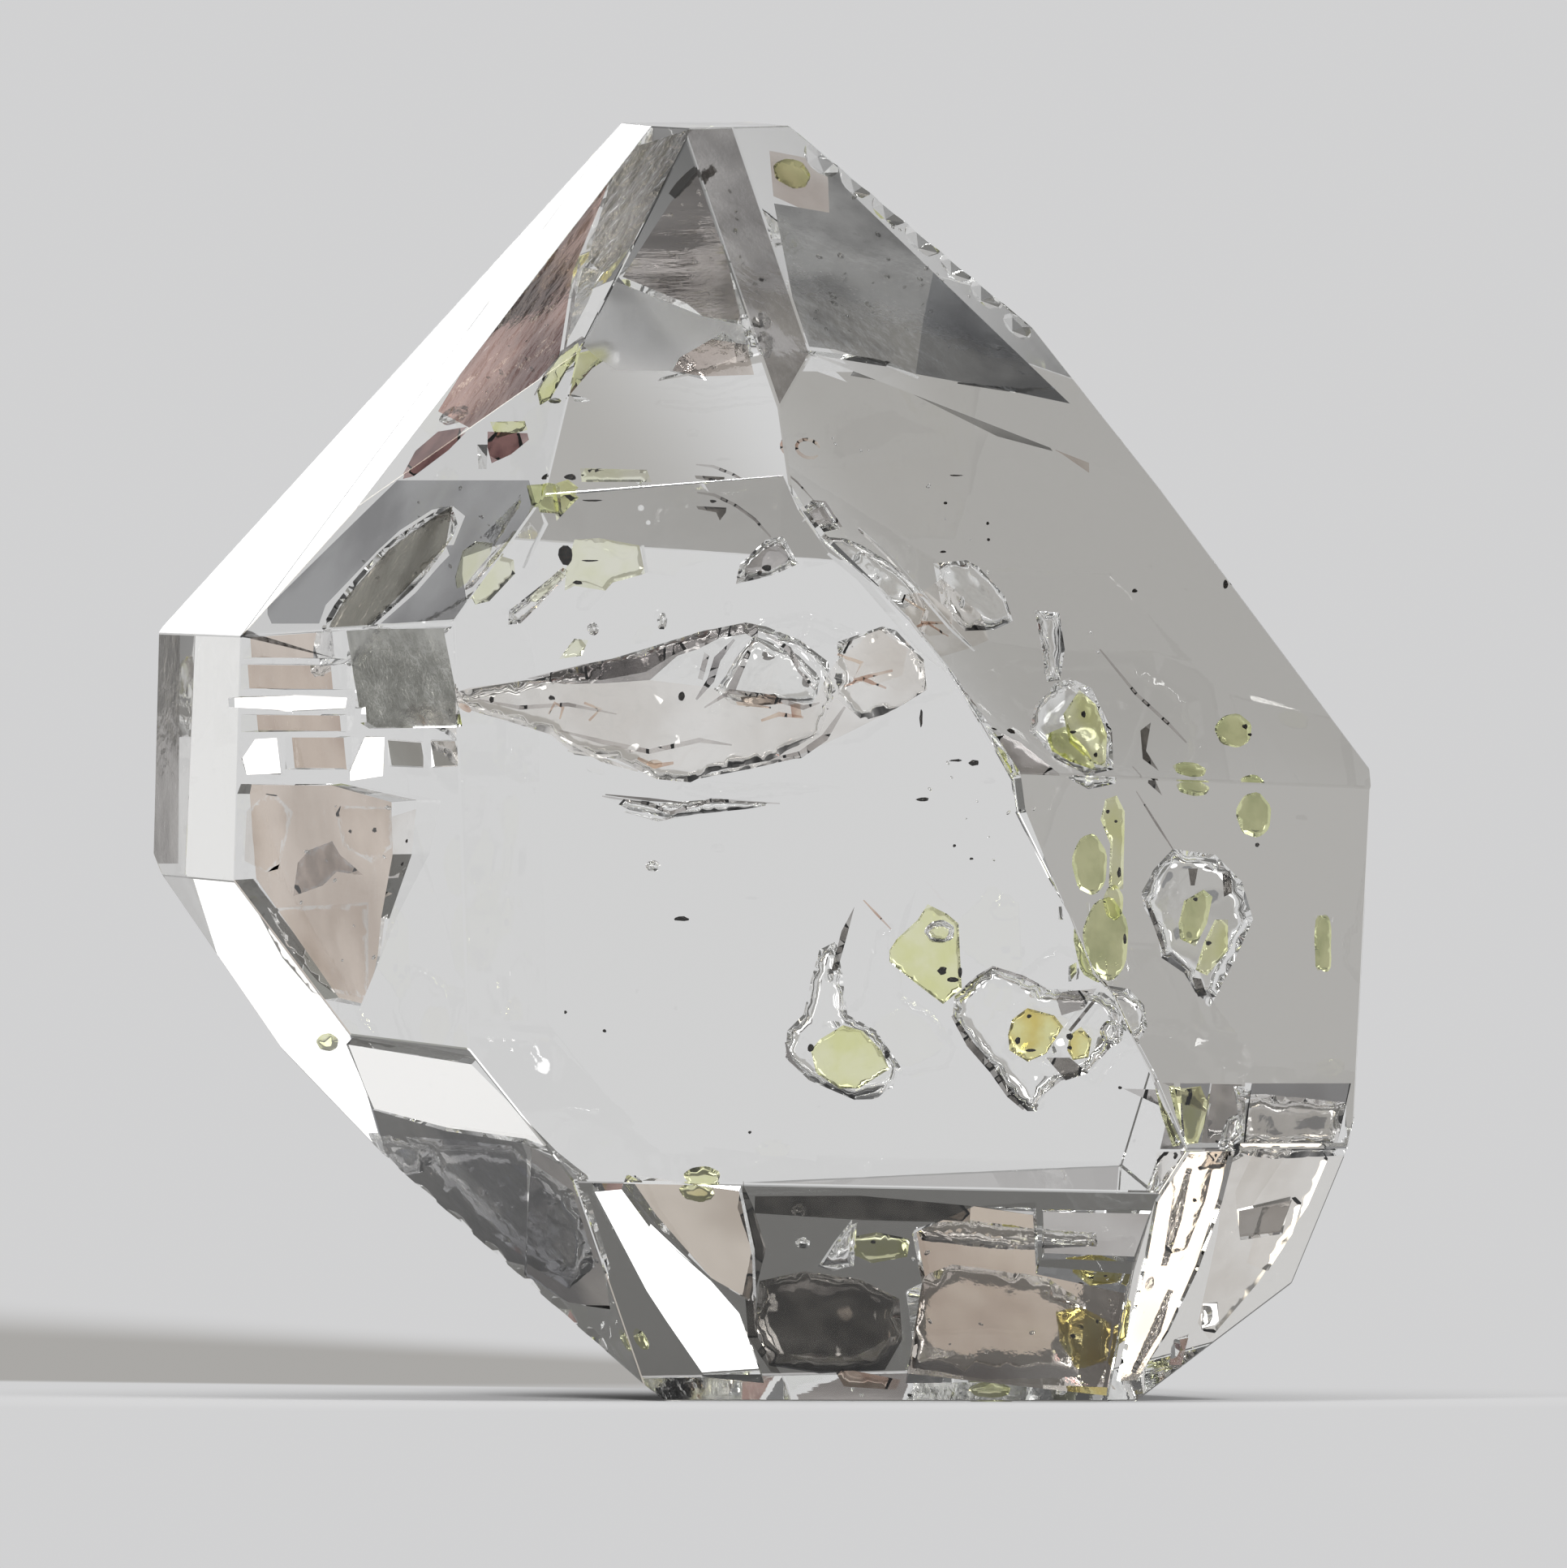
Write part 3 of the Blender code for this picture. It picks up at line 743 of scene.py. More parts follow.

# The grey films (SHADY, DARK, DUSK) are painted shade: sheets that darken what shows through them.
FILMS = [
    # kind, depth in mm, outline
    (HAZY, 2.6, [(548, 857), (578, 848), (649, 838), (742, 842), (801, 838), (860, 845), (1000, 868),
        (1030, 815), (1087, 772), (1138, 813), (1142, 850), (1108, 871), (1041, 905), (986, 930),
        (944, 939), (877, 951), (851, 964), (809, 960), (759, 935), (708, 930), (679, 905), (624, 888),
        (582, 876)]),
    (SHADY, 2.4, [(649, 836), (717, 819), (793, 804), (860, 779), (919, 767), (934, 770), (934, 789),
        (919, 781), (885, 787), (860, 800), (835, 808), (801, 838), (742, 842), (696, 843)]),
    (SHADY, 2.3, [(927, 791), (910, 821), (894, 852), (906, 852), (915, 829), (929, 796)]),
    (SHADY, 2.3, [(868, 804), (860, 836), (866, 838), (874, 808)]),
    (DUSK, 2.1, [(660, 834), (720, 822), (793, 808), (858, 784), (915, 770), (900, 780), (856, 796),
        (828, 808), (796, 828), (742, 838)]),
    (DUSK, 2.0, ribbon([(858, 862), (876, 838), (884, 812), (905, 788)], 9, 0.3)),
    (SHADY, 2.0, ribbon([(940, 778), (972, 800), (986, 826), (1004, 850)], 7, 0.3)),
    (SHADY, 2.0, ribbon([(868, 872), (900, 852), (944, 858), (990, 872), (1010, 866)], 6, 0.3)),
    (SHADY, 2.0, ribbon([(690, 900), (742, 914), (800, 926), (862, 912), (902, 918)], 6, 0.3)),
    (SHADY, 2.0, ribbon([(590, 862), (640, 872), (700, 868), (760, 880)], 5, 0.3)),
    (RUSTY, 2.0, ribbon([(720, 866), (740, 874), (726, 888)], 5, 0.6)),
    (RUSTY, 2.0, ribbon([(786, 934), (806, 944), (830, 940)], 7, 0.5)),
    (RUSTY, 2.0, ribbon([(938, 888), (960, 880), (990, 884)], 6, 0.5)),
    (HAZY, 1.9, [(1036, 794), (1084, 776), (1118, 800), (1112, 832), (1072, 846), (1046, 832)]),
    (RUSTY, 2.2, [(912, 859), (955, 855), (965, 867), (919, 871)]),
    (RUSTY, 2.2, [(974, 868), (986, 868), (988, 884), (976, 884)]),
    (RUSTY, 2.2, ribbon([(1032, 806), (1062, 817), (1051, 838), (1100, 826)], 6)),
    (RUSTY, 2.2, ribbon([(1040, 846), (1064, 836), (1092, 848)], 5)),
    (SHADY, 2.2, ribbon([(944, 937), (986, 930), (1016, 909), (1041, 871)], 9, 0.3)),
    (RUSTY, 2.2, oval(807, 941, 18, 10)),
    (RUSTY, 2.2, oval(573, 872, 18, 8, 30)),
    (RUSTY, 2.2, ribbon([(676, 880), (684, 866), (694, 872), (690, 886)], 4)),
    (SHADY, 2.2, ribbon([(742, 981), (800, 990), (826, 1002), (877, 986), (961, 990)], 5, 0.3)),
    (SHADY, 0.1, [(1222, 898), (1256, 914), (1306, 954), (1257, 952), (1240, 926)]),
    (SHADY, 1.5, [(906, 720), (912, 695), (944, 665), (965, 661), (984, 695), (952, 707)]),
    (DARK, 1.4, [(856, 586), (893, 588), (892, 594), (884, 604), (880, 594), (858, 590)]),
    (SHADY, 1.4, ribbon([(859, 607), (880, 610), (905, 622), (930, 640), (950, 662)], 4)),
    (DARK, 1.8, [(1053, 1117), (1044, 1152), (1032, 1195), (1024, 1197), (1037, 1147)]),
    (RUSTY, 1.8, ribbon([(1064, 1109), (1080, 1126), (1098, 1145)], 3)),
    (DARK, 0.9, ribbon([(1174, 1251), (1195, 1286), (1223, 1318), (1244, 1348), (1262, 1366)], 9, 0.5)),
    (SHADY, 0.9, ribbon([(1176, 1228), (1204, 1204), (1223, 1192), (1261, 1204), (1289, 1218)], 4)),
    (SHADY, 0.9, [(1299, 1223), (1351, 1218), (1336, 1242), (1308, 1251)]),
    (DARK, 0.9, [(1289, 1303), (1318, 1303), (1341, 1322), (1313, 1331)]),
    (DARK, 0.9, ribbon([(1349, 1232), (1318, 1270)], 4, 1.0)),
    (DARK, 1.4, [(1464, 1070), (1476, 1070), (1472, 1091), (1467, 1091)]),
    (DARK, 1.4, [(1506, 1076), (1516, 1072), (1518, 1100), (1508, 1105)]),
    (DARK, 1.4, ribbon([(1412, 1110), (1420, 1128), (1428, 1150), (1436, 1178)], 6)),
    (DARK, 1.4, [(1469, 1204), (1480, 1206), (1487, 1226), (1476, 1228)]),
    (SHADY, 1.4, ribbon([(1400, 975), (1425, 1015), (1445, 1046)], 3)),
    (SHADY, 1.4, ribbon([(1355, 800), (1400, 855), (1440, 892), (1462, 915)], 4)),
    (DARK, 1.3, [(1405, 900), (1418, 890), (1412, 925), (1428, 950), (1408, 935)]),
    (RED, 0.9, [(601, 532), (650, 534), (652, 542), (630, 560), (606, 571), (601, 552)]),
    (RED, 0.9, [(540, 532), (576, 526), (553, 548), (510, 580), (497, 584), (512, 556)]),
    (DARK, 0.8, ribbon([(828, 242), (838, 230), (850, 218), (860, 208)], 13, 0.8)),
    (DARK, 0.9, ribbon([(668, 474), (688, 450), (712, 430), (746, 422), (760, 432)], 5)),
    (DARK, 0.12, ribbon([(930, 1484), (1060, 1488), (1196, 1496)], 30, 0.7)),
    (HAZY, 0.3, [(1512, 1418), (1640, 1418), (1612, 1484), (1550, 1580), (1490, 1650), (1476, 1630),
        (1500, 1520)]),
    (HAZY, 0.4, [(1556, 1484), (1606, 1472), (1592, 1520), (1562, 1566), (1536, 1556)]),
    (RUSTY, 0.5, ribbon(arc(996, 553, 30, 22, 20, 20, 330), 4)),
    (HAZY, 0.2, [(293, 1000), (330, 972), (360, 1000), (330, 1080), (290, 1060)]),
    (HAZY, 0.3, [(420, 990), (508, 990), (500, 1040), (470, 1060), (430, 1040)]),
    (HAZY, 0.2, [(320, 1120), (460, 1110), (450, 1230), (380, 1220), (340, 1180)]),
    (DARK, 0.3, [(936, 1578), (990, 1566), (1060, 1576), (1108, 1600), (1112, 1650), (1090, 1688),
        (1010, 1690), (948, 1680), (930, 1630)]),
    (SHADY, 0.3, [(380, 1046), (414, 1034), (424, 1050), (456, 1076), (418, 1072), (396, 1090),
        (352, 1104), (362, 1062)]),
    (RUSTY, 0.15, [(1026, 1684), (1060, 1690), (1110, 1700), (1104, 1712), (1040, 1708)]),
    (HAZY, 0.2, [(1436, 1424), (1500, 1420), (1486, 1480), (1462, 1540), (1432, 1547), (1444, 1470)]),
    (SHADY, 1.2, [(1432, 1334), (1530, 1336), (1534, 1368), (1510, 1408), (1480, 1408), (1492, 1360)]),
    (DARK, 0.2, [(916, 1460), (928, 1486), (944, 1538), (930, 1594), (934, 1648), (962, 1692), (950, 1690),
        (922, 1648), (918, 1594), (930, 1538), (912, 1486)]),
]
for number, (kind, depth, outline) in enumerate(FILMS):
    sheet(films, outline, depth, 2.0, grain=10.0, seed=number + 1, index=kind)

POCKETS = [
    # depth in mm, thickness in pixels, rim, grain, roughness, waves, outline
    (3.2, 12, 12, 9, 0.5, 2.5, [(548, 857), (600, 848), (649, 840), (717, 823), (793, 800), (868, 777),
        (919, 768), (944, 772), (986, 789), (1020, 815), (1030, 850), (1010, 905), (944, 937), (877, 949),
        (851, 962), (809, 958), (759, 933), (708, 928), (679, 903), (624, 886), (582, 874)]),
    (3.5, 16, 10, 8, 0.6, 3, [(882, 850), (905, 812), (930, 782), (980, 806), (1010, 836), (1004, 864),
        (950, 868), (900, 866)]),
    (3.8, 10, 10, 9, 0.5, 3, [(1032, 791), (1087, 772), (1104, 777), (1138, 813), (1142, 850), (1108, 871),
        (1060, 885), (1030, 860)]),
    (2.8, 8, 8, 7, 0.5, 2, [(742, 981), (809, 990), (877, 985), (961, 990), (919, 997), (860, 1003),
        (826, 1008), (776, 998)]),
    (2.6, 16, 12, 8, 0.2, 1.5, [(968, 1303), (970, 1270), (990, 1250), (1000, 1205), (1010, 1170),
        (1030, 1160), (1038, 1200), (1044, 1250), (1080, 1270), (1110, 1315), (1100, 1340), (1053, 1355),
        (997, 1331)]),
    (1.3, 16, 12, 11, 0.6, 4, [(1176, 1228), (1204, 1204), (1223, 1192), (1261, 1204), (1289, 1218),
        (1341, 1221), (1360, 1223), (1384, 1242), (1388, 1270), (1365, 1294), (1341, 1322), (1308, 1331),
        (1289, 1346), (1277, 1369), (1266, 1369), (1242, 1346), (1223, 1313), (1195, 1284), (1174, 1251)]),
    (2.2, 18, 14, 12, 0.6, 4, [(1407, 1103), (1421, 1072), (1445, 1046), (1497, 1053), (1530, 1086),
        (1544, 1133), (1520, 1185), (1492, 1239), (1473, 1223), (1459, 1199), (1431, 1180), (1426, 1147),
        (1410, 1119)]),
    (0.75, 14, 8, 8, 0.7, 4, [(1268, 900), (1276, 870), (1300, 842), (1318, 835), (1345, 848), (1370, 900),
        (1372, 948), (1340, 955), (1300, 935)]),
    (0.8, 12, 8, 8, 0.7, 4, [(1275, 752), (1305, 755), (1312, 800), (1306, 838), (1290, 840), (1282, 790)]),
    (0.9, 8, 8, 9, 0.2, 1, oval(478, 714, 236, 62, -46)),
    (1.4, 14, 8, 8, 0.6, 3, [(906, 720), (912, 695), (944, 665), (965, 661), (984, 695), (952, 709)]),
    (1.6, 10, 6, 6, 0.3, 0, [(626, 770), (628, 752), (694, 700), (704, 704), (664, 746), (642, 768)]),
    (1.6, 12, 6, 5, 0.3, 1, oval(816, 766, 12, 22, 8)),
    (1.6, 12, 6, 4, 0.1, 0, oval(731, 775, 14, 16)),
    (0.9, 14, 8, 4, 0.1, 0, oval(918, 398, 17, 22)),
    (0.9, 16, 8, 4, 0.1, 0, oval(941, 425, 22, 32)),
    (1.3, 16, 8, 4, 0.1, 0, oval(1158, 1148, 36, 29, -5)),
    (1.8, 12, 6, 4, 0.1, 0, oval(805, 1067, 18, 14)),
    (0.8, 10, 5, 4, 0.3, 0, oval(984, 1490, 18, 14)),
    (0.8, 10, 5, 4, 0.3, 0, oval(989, 1531, 18, 14)),
    (0.6, 10, 6, 5, 0.3, 0, oval(560, 512, 38, 20, -24)),
    (0.7, 14, 8, 7, 0.5, 3, [(454, 1404), (480, 1398), (520, 1415), (522, 1444), (500, 1448), (470, 1430)]),
    (0.9, 9, 12, 12, 0.5, 3, [(936, 1578), (990, 1566), (1060, 1576), (1108, 1600), (1112, 1650),
        (1090, 1688), (1010, 1692), (948, 1682), (930, 1630)]),
    (0.9, 5, 12, 18, 0.5, 3, [(1116, 1590), (1180, 1560), (1300, 1570), (1350, 1600), (1340, 1690),
        (1220, 1700), (1130, 1690)]),
    (0.7, 12, 12, 12, 0.6, 4, [(1520, 1338), (1568, 1340), (1656, 1350), (1660, 1402), (1570, 1408),
        (1530, 1400)]),
    (0.7, 12, 12, 14, 0.6, 4, [(500, 1400), (560, 1404), (630, 1412), (700, 1470), (728, 1560),
        (700, 1586), (620, 1530), (540, 1460)]),
    (0.7, 10, 6, 7, 0.6, 3, [(1128, 1512), (1200, 1505), (1350, 1515), (1352, 1533), (1240, 1538),
        (1140, 1533)]),
    (0.6, 12, 8, 9, 0.6, 3, [(1012, 1562), (1042, 1512), (1056, 1506), (1052, 1560)]),
    (0.6, 10, 5, 6, 0.4, 0, oval(1370, 1272, 28, 32)),
    (0.8, 12, 8, 8, 0.6, 3, [(1500, 1412), (1512, 1378), (1530, 1370), (1534, 1400), (1516, 1414)]),
    (0.8, 10, 5, 5, 0.3, 0, oval(1185, 742, 8, 15)),
    (0.7, 8, 6, 6, 0.4, 1, ribbon([(1430, 1560), (1446, 1500), (1462, 1440)], 14, 0.5)),
    (0.6, 8, 6, 6, 0.4, 1, ribbon([(1392, 1690), (1420, 1640), (1440, 1590)], 14, 0.5)),
]
for number, (depth, thick, rim, grain, rough, waves, outline) in enumerate(POCKETS):
    sheet(hollows, outline, depth, thick, rim, grain, rough, waves, hollow=True, seed=number + 1)

DUSTED = [
    # how many small hollows, their size in pixels, depth in mm, the area they are spread over
    (34, 7.0, 0.25, [(970, 250), (1060, 240), (1190, 350), (1300, 470), (1180, 440), (1010, 420)]),
    (9, 6.0, 0.25, [(880, 210), (916, 220), (940, 400), (914, 380)]),
    (16, 6.0, 0.25, [(800, 290), (860, 230), (900, 380), (830, 350)]),
    (22, 7.0, 0.25, [(470, 1400), (640, 1420), (720, 1480), (740, 1600), (600, 1530)]),
    (12, 6.0, 0.25, [(600, 420), (690, 300), (690, 430), (600, 510)]),
    (14, 5.0, 0.25, [(500, 600), (640, 600), (640, 640), (560, 740), (400, 740)]),
    (10, 5.0, 0.4, [(1000, 520), (1100, 560), (1420, 820), (1300, 800)]),
    (14, 6.0, 0.3, [(1120, 1500), (1390, 1510), (1380, 1690), (1120, 1690)]),
    (8, 5.0, 0.6, [(1130, 920), (1230, 960), (1290, 1090), (1180, 1100)]),
    (10, 6.0, 0.3, [(300, 980), (500, 990), (470, 1180), (360, 1220)]),
]
for number, (count, size, depth, area) in enumerate(DUSTED):
    for px, py, scale, turn in scattered(area, count, number + 1):
        outline = oval(px, py, size * scale, size * 0.6 * scale, turn, points=8, seed=number)
        sheet(hollows, outline, depth, size * 0.5, grain=4.0, hollow=True)

GLINTS = [
    # depth in mm, what they show, outlines
    (1.2, "glow", [
        ribbon([(1020, 682), (1060, 712), (1100, 758), (1136, 800), (1168, 828)], 9, 0.4),
        ribbon([(1053, 1353), (1078, 1350), (1104, 1330)], 9, 0.4),
    ]),
    (0.7, "glow", [
        oval(1280, 1359, 15, 16, points=10), [(1292, 1277), (1308, 1274), (1313, 1290), (1298, 1298)],
        [(1270, 1218), (1289, 1224), (1284, 1232), (1268, 1228)],
        ribbon([(1344, 1226), (1312, 1268)], 5, 1.0),
    ]),
    (1.2, "glow", [
        ribbon([(984, 822), (996, 830), (1003, 838)], 7, 0.6), ribbon([(792, 672), (797, 706)], 5, 0.7),
        ribbon([(668, 633), (673, 645), (655, 680), (645, 700)], 6, 0.4), oval(790, 626, 8, 8, points=8),
        oval(799, 644, 6, 6, points=8), ribbon([(690, 908), (742, 936), (786, 950)], 6, 0.4),
        ribbon([(862, 958), (926, 944), (986, 932)], 6, 0.4),
        ribbon([(562, 858), (600, 878), (648, 890)], 5, 0.4),
        ribbon([(880, 848), (904, 866), (950, 872)], 5, 0.4), oval(735, 950, 24, 8, 15, points=10),
        oval(780, 922, 18, 9, -30, points=10), ribbon([(700, 925), (740, 932), (762, 930)], 5, 0.4),
        ribbon([(770, 1000), (810, 1010), (850, 1006)], 4, 0.3),
    ]),
    (1.2, "gloom", [
        ribbon([(746, 979), (800, 985), (850, 990)], 4, 0.3),
    ]),
    (1.2, "glow", [
        oval(1022, 1202, 12, 18, points=10), oval(1026, 1262, 20, 9, points=10),
    ]),
    (1.2, "gloom", [
        ribbon([(968, 1284), (974, 1306), (990, 1322)], 5, 0.4),
    ]),
    (0.9, "right_glow", [
        ribbon([(1418, 1076), (1408, 1100)], 6, 0.5),
        ribbon([(1278, 760), (1290, 782), (1288, 830)], 7, 0.5), oval(1490, 1234, 10, 12, points=8),
        [(1352, 1185), (1362, 1180), (1366, 1200), (1354, 1204)],
        ribbon([(1340, 1112), (1342, 1128)], 5, 0.8), ribbon([(1618, 1130), (1642, 1133)], 6, 1.0),
    ]),
    (0.5, "glow", [
        oval(759, 440, 9, 17, points=8), oval(684, 494, 16, 7, points=8), oval(918, 400, 12, 15, points=8),
        oval(937, 434, 12, 10, points=8), ribbon([(714, 325), (706, 372), (696, 432)], 5, 0.5),
        [(588, 548), (601, 548), (600, 578), (590, 578)], oval(566, 516, 18, 9, -30, points=8),
        ribbon([(989, 433), (1040, 440), (1096, 449), (1132, 466)], 7, 0.4),
        ribbon([(1180, 472), (1254, 482), (1300, 478)], 5, 0.4),
    ]),
    (0.5, "right_glow", [
        oval(1413, 1581, 10, 18, 20, points=8), oval(1489, 1621, 16, 26, 15, points=10),
        oval(1450, 1662, 14, 26, 20, points=10),
    ]),
    (0.5, "glow", [
        ribbon([(1146, 1520), (1176, 1530)], 5, 0.6),
        ribbon([(1240, 1524), (1290, 1526), (1340, 1530)], 5, 0.5),
        [(1008, 1560), (1028, 1530), (1050, 1502), (1046, 1560), (1026, 1566)],
    ]),
]
for depth, look, outlines in GLINTS:
    for outline in outlines:
        prism(hollows, outline, depth, look)

SPECKS = [
    # pixel, width and height in pixels, depth in mm
    (697, 684, 19, 24, 1.0), (703, 588, 14, 8, 0.9), (712, 718, 12, 5, 1.2), (727, 691, 20, 2.5, 1.2),
    (729, 590, 24, 2.5, 1.0), (1161, 1196, 12, 10, 1.5), (1174, 1207, 16, 6, 1.5), (1183, 1198, 5, 14, 1.5),
    (1093, 1299, 6, 11, 1.6), (999, 1291, 8, 10, 1.6), (1254, 1282, 7, 9, 0.7), (1270, 1294, 13, 4, 0.7),
    (1268, 1252, 6, 5, 0.7), (1318, 1277, 8, 9, 0.7), (1318, 1291, 6, 5, 0.7), (1473, 1108, 6, 5, 1.2),
    (1489, 1162, 7, 6, 1.2), (1379, 1075, 5, 13, 0.2), (1386, 1157, 4, 14, 0.15), (1549, 1041, 6, 5, 0.8),
    (1534, 895, 7, 6, 0.8), (1540, 905, 5, 4, 0.8), (840, 1132, 19, 6, 1.0), (745, 1270, 5, 4, 1.0),
    (697, 1247, 4, 4, 1.0), (924, 1395, 4, 4, 1.0), (1165, 620, 5, 3.5, 0.8), (1217, 645, 4, 4, 0.8),
    (1218, 665, 4, 4, 0.8), (1162, 680, 8, 3, 0.8), (1398, 728, 7, 5, 0.8), (877, 591, 8, 4, 1.0),
    (1178, 586, 16, 2, 0.8), (1135, 885, 4, 22, 1.0), (1137, 985, 16, 5, 1.0), (1178, 937, 16, 3, 1.0),
    (1200, 940, 12, 8, 1.2), (443, 1020, 5, 5, 0.6), (478, 1017, 6, 6, 0.6), (939, 345, 8, 3, 0.6),
    (1176, 1042, 4, 4, 0.8), (1197, 1058, 5, 3, 0.8), (606, 862, 6, 8, 1.6), (680, 860, 8, 6, 1.6),
    (840, 858, 8, 12, 1.6), (1510, 720, 6, 12, 0.8), (1335, 880, 6, 8, 0.3), (1322, 902, 8, 4, 0.3),
    (1350, 930, 5, 6, 0.3), (1380, 1340, 5, 4, 0.8), (1365, 1000, 5, 5, 0.3), (1375, 1012, 4, 4, 0.3),
    (945, 700, 12, 8, 1.2), (936, 706, 6, 6, 1.2), (1477, 1440, 6, 5, 0.6), (1470, 1480, 5, 5, 0.6),
    (1497, 1425, 4, 4, 0.6), (1330, 1640, 7, 6, 0.5), (1360, 1620, 5, 5, 0.5), (1076, 1530, 6, 5, 0.5),
]
for number, (px, py, wide, high, depth) in enumerate(SPECKS):
    outline = oval(px, py, wide, high, uneven=0.2, seed=number, points=10)
    sheet(specks, outline, depth, min(wide, high) * 0.6, grain=4.0, seed=number + 1)

crystal = new_piece("clear_crystal", hollows, *FINISHES.values())
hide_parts("crystal")
new_piece("petroleum", oils, *OIL_KINDS)
new_piece("films", films, *FILM_KINDS)
new_piece("bitumen_specks", specks, BITUMEN)


# The studio

PALE = (0.64, 0.64, 0.645)
DIM = (0.13, 0.128, 0.122)
SOFTBOX = (0.7, 0.7, 0.7)
# Where the wall melts into the ceiling and that into the softbox overhead.
WALL_TOP = [math.sin(math.radians(height)) for height in (14.0, 18.0)]
CEILING_TOP = [math.sin(math.radians(height)) for height in (54.0, 60.0)]
# Grey cards of the studio; on the floor they are also painted as a soft shadow behind the crystal, to the
# left.
SHADOW_CARDS = [
    # azimuth, elevation, inner and outer radius in degrees, colour
    (-28.0, -2.0, 14.0, 20.0, (0.40, 0.39, 0.375)),
]
# A bright card of the studio; far off on the floor it is also painted as a patch of light.
SIDE_LIGHT_CARD = (60.0, 0.0, 8.0, 12.0, (0.95, 0.95, 0.95))
CARDS = SHADOW_CARDS + [
    SIDE_LIGHT_CARD,
    (-16.0, 15.0, 6.5, 8.0, (2.6, 2.6, 2.6)),
    (-22.0, 20.0, 2.6, 3.6, (1.8, 1.8, 1.8)),
    (-29.0, 21.0, 3.5, 4.5, (0.62, 0.61, 0.6)),
    (-36.0, 21.0, 2.6, 3.6, (2.5, 2.3, 1.95)),
    (-29.0, 28.5, 2.6, 3.6, (0.32, 0.31, 0.30)),
    (60.2, 24.0, 3.0, 4.0, (1.7, 1.7, 1.7)),
    (158.0, 15.5, 4.0, 6.0, (0.6, 0.6, 0.6)),
    (155.0, 42.0, 5.0, 8.0, (0.55, 0.55, 0.55)),
    (-30.0, 5.0, 2.6, 3.6, (0.18, 0.18, 0.185)),
    (-5.0, 21.5, 2.6, 3.6, (1.8, 1.8, 1.8)),
    (10.0, 21.5, 2.6, 3.6, (0.55, 0.50, 0.45)),
    (2.5, 29.0, 2.6, 3.6, (0.45, 0.44, 0.44)),
    (38.0, 33.0, 3.0, 4.0, (0.95, 0.94, 0.93)),
    (31.0, 26.0, 2.6, 3.6, (0.36, 0.34, 0.32)),
    (45.0, 26.0, 2.6, 3.6, (0.16, 0.17, 0.20)),
    (45.0, 6.0, 2.6, 3.6, (0.56, 0.49, 0.44)),
    (37.0, 9.5, 2.6, 3.6, (0.28, 0.28, 0.26)),
    (29.5, 5.0, 2.6, 3.6, (1.8, 1.75, 1.7)),
    (11.0, 5.5, 2.4, 3.4, (1.6, 1.6, 1.6)),
    (-9.0, 9.0, 3.6, 4.6, (0.12, 0.11, 0.105)),
    (-41.0, 3.6, 2.4, 3.4, (1.6, 1.6, 1.6)),
    (20.0, 3.6, 2.4, 3.4, (1.4, 1.4, 1.4)),
    (-14.0, 3.6, 2.4, 3.4, (1.4, 1.4, 1.4)),
    (2.5, 11.5, 1.8, 2.8, (1.6, 1.6, 1.6)),
]
KEY_DISTANCE = 0.5
KEY_SIZE = 0.13
KEYS = [
    # name, azimuth, elevation, power in watts
    ("key_left", -150.0, 40.0, 1.2),
    ("key_right", 146.0, 45.0, 1.2),
]


def surroundings(tree, direction, cards):
    """What the studio looks like in a direction: a pale wall, a dim ceiling, lights and cards."""
    split = tree.nodes.new("ShaderNodeSeparateXYZ")
    tree.links.new(direction, split.inputs["Vector"])
    height = split.outputs["Z"]
    colour = mixed(tree, ramp(tree, height, *WALL_TOP), PALE, DIM)
    colour = mixed(tree, ramp(tree, height, *CEILING_TOP), colour, SOFTBOX)
    for azimuth, elevation, inner, outer, shade in cards:
        dot = tree.nodes.new("ShaderNodeVectorMath")
        dot.operation = "DOT_PRODUCT"
        dot.inputs[1].default_value = towards(azimuth, elevation)
        tree.links.new(direction, dot.inputs[0])
        mask = ramp(
            tree, dot.outputs["Value"],
            math.cos(math.radians(outer)), math.cos(math.radians(inner)),
        )
        colour = mixed(tree, mask, colour, shade)
    return colour


def make_keys():
    """Two soft lamps in front of the crystal, left and right, whose shadows fall behind it."""
    for name, azimuth, elevation, power in KEYS:
        data = bpy.data.lights.new(name, "AREA")
        data.shape = "DISK"
        data.size = KEY_SIZE
        data.energy = power
        lamp = bpy.data.objects.new(name, data)
        way = towards(azimuth, elevation)
        lamp.location = way * KEY_DISTANCE
        lamp.rotation_euler = way.to_track_quat("Z", "Y").to_euler()
        bpy.context.scene.collection.objects.link(lamp)


def make_world():
    """The studio all round, for what the crystal mirrors and bends."""
    world = bpy.data.worlds.new("studio")
    bpy.context.scene.world = world
    world.use_nodes = True
    tree = world.node_tree
    place = tree.nodes.new("ShaderNodeTexCoord")
    colour = surroundings(tree, place.outputs["Generated"], CARDS)
    tree.links.new(colour, tree.nodes["Background"].inputs["Color"])


FLOOR_RADIUS = 4.0
FLOOR_COLOUR = (0.78, 0.78, 0.785, 1.0)
FLOOR_ROUGHNESS = 0.8
FLOOR_NEAR = 0.0
FLOOR_FAR = 0.014
FLOOR_APEX = (6.0 * MM, 2.0 * MM, 0.0)
SHADOW_PAINT_START = (0.005, 0.016)
SIDE_LIGHT_REACH = (0.15, 0.3)


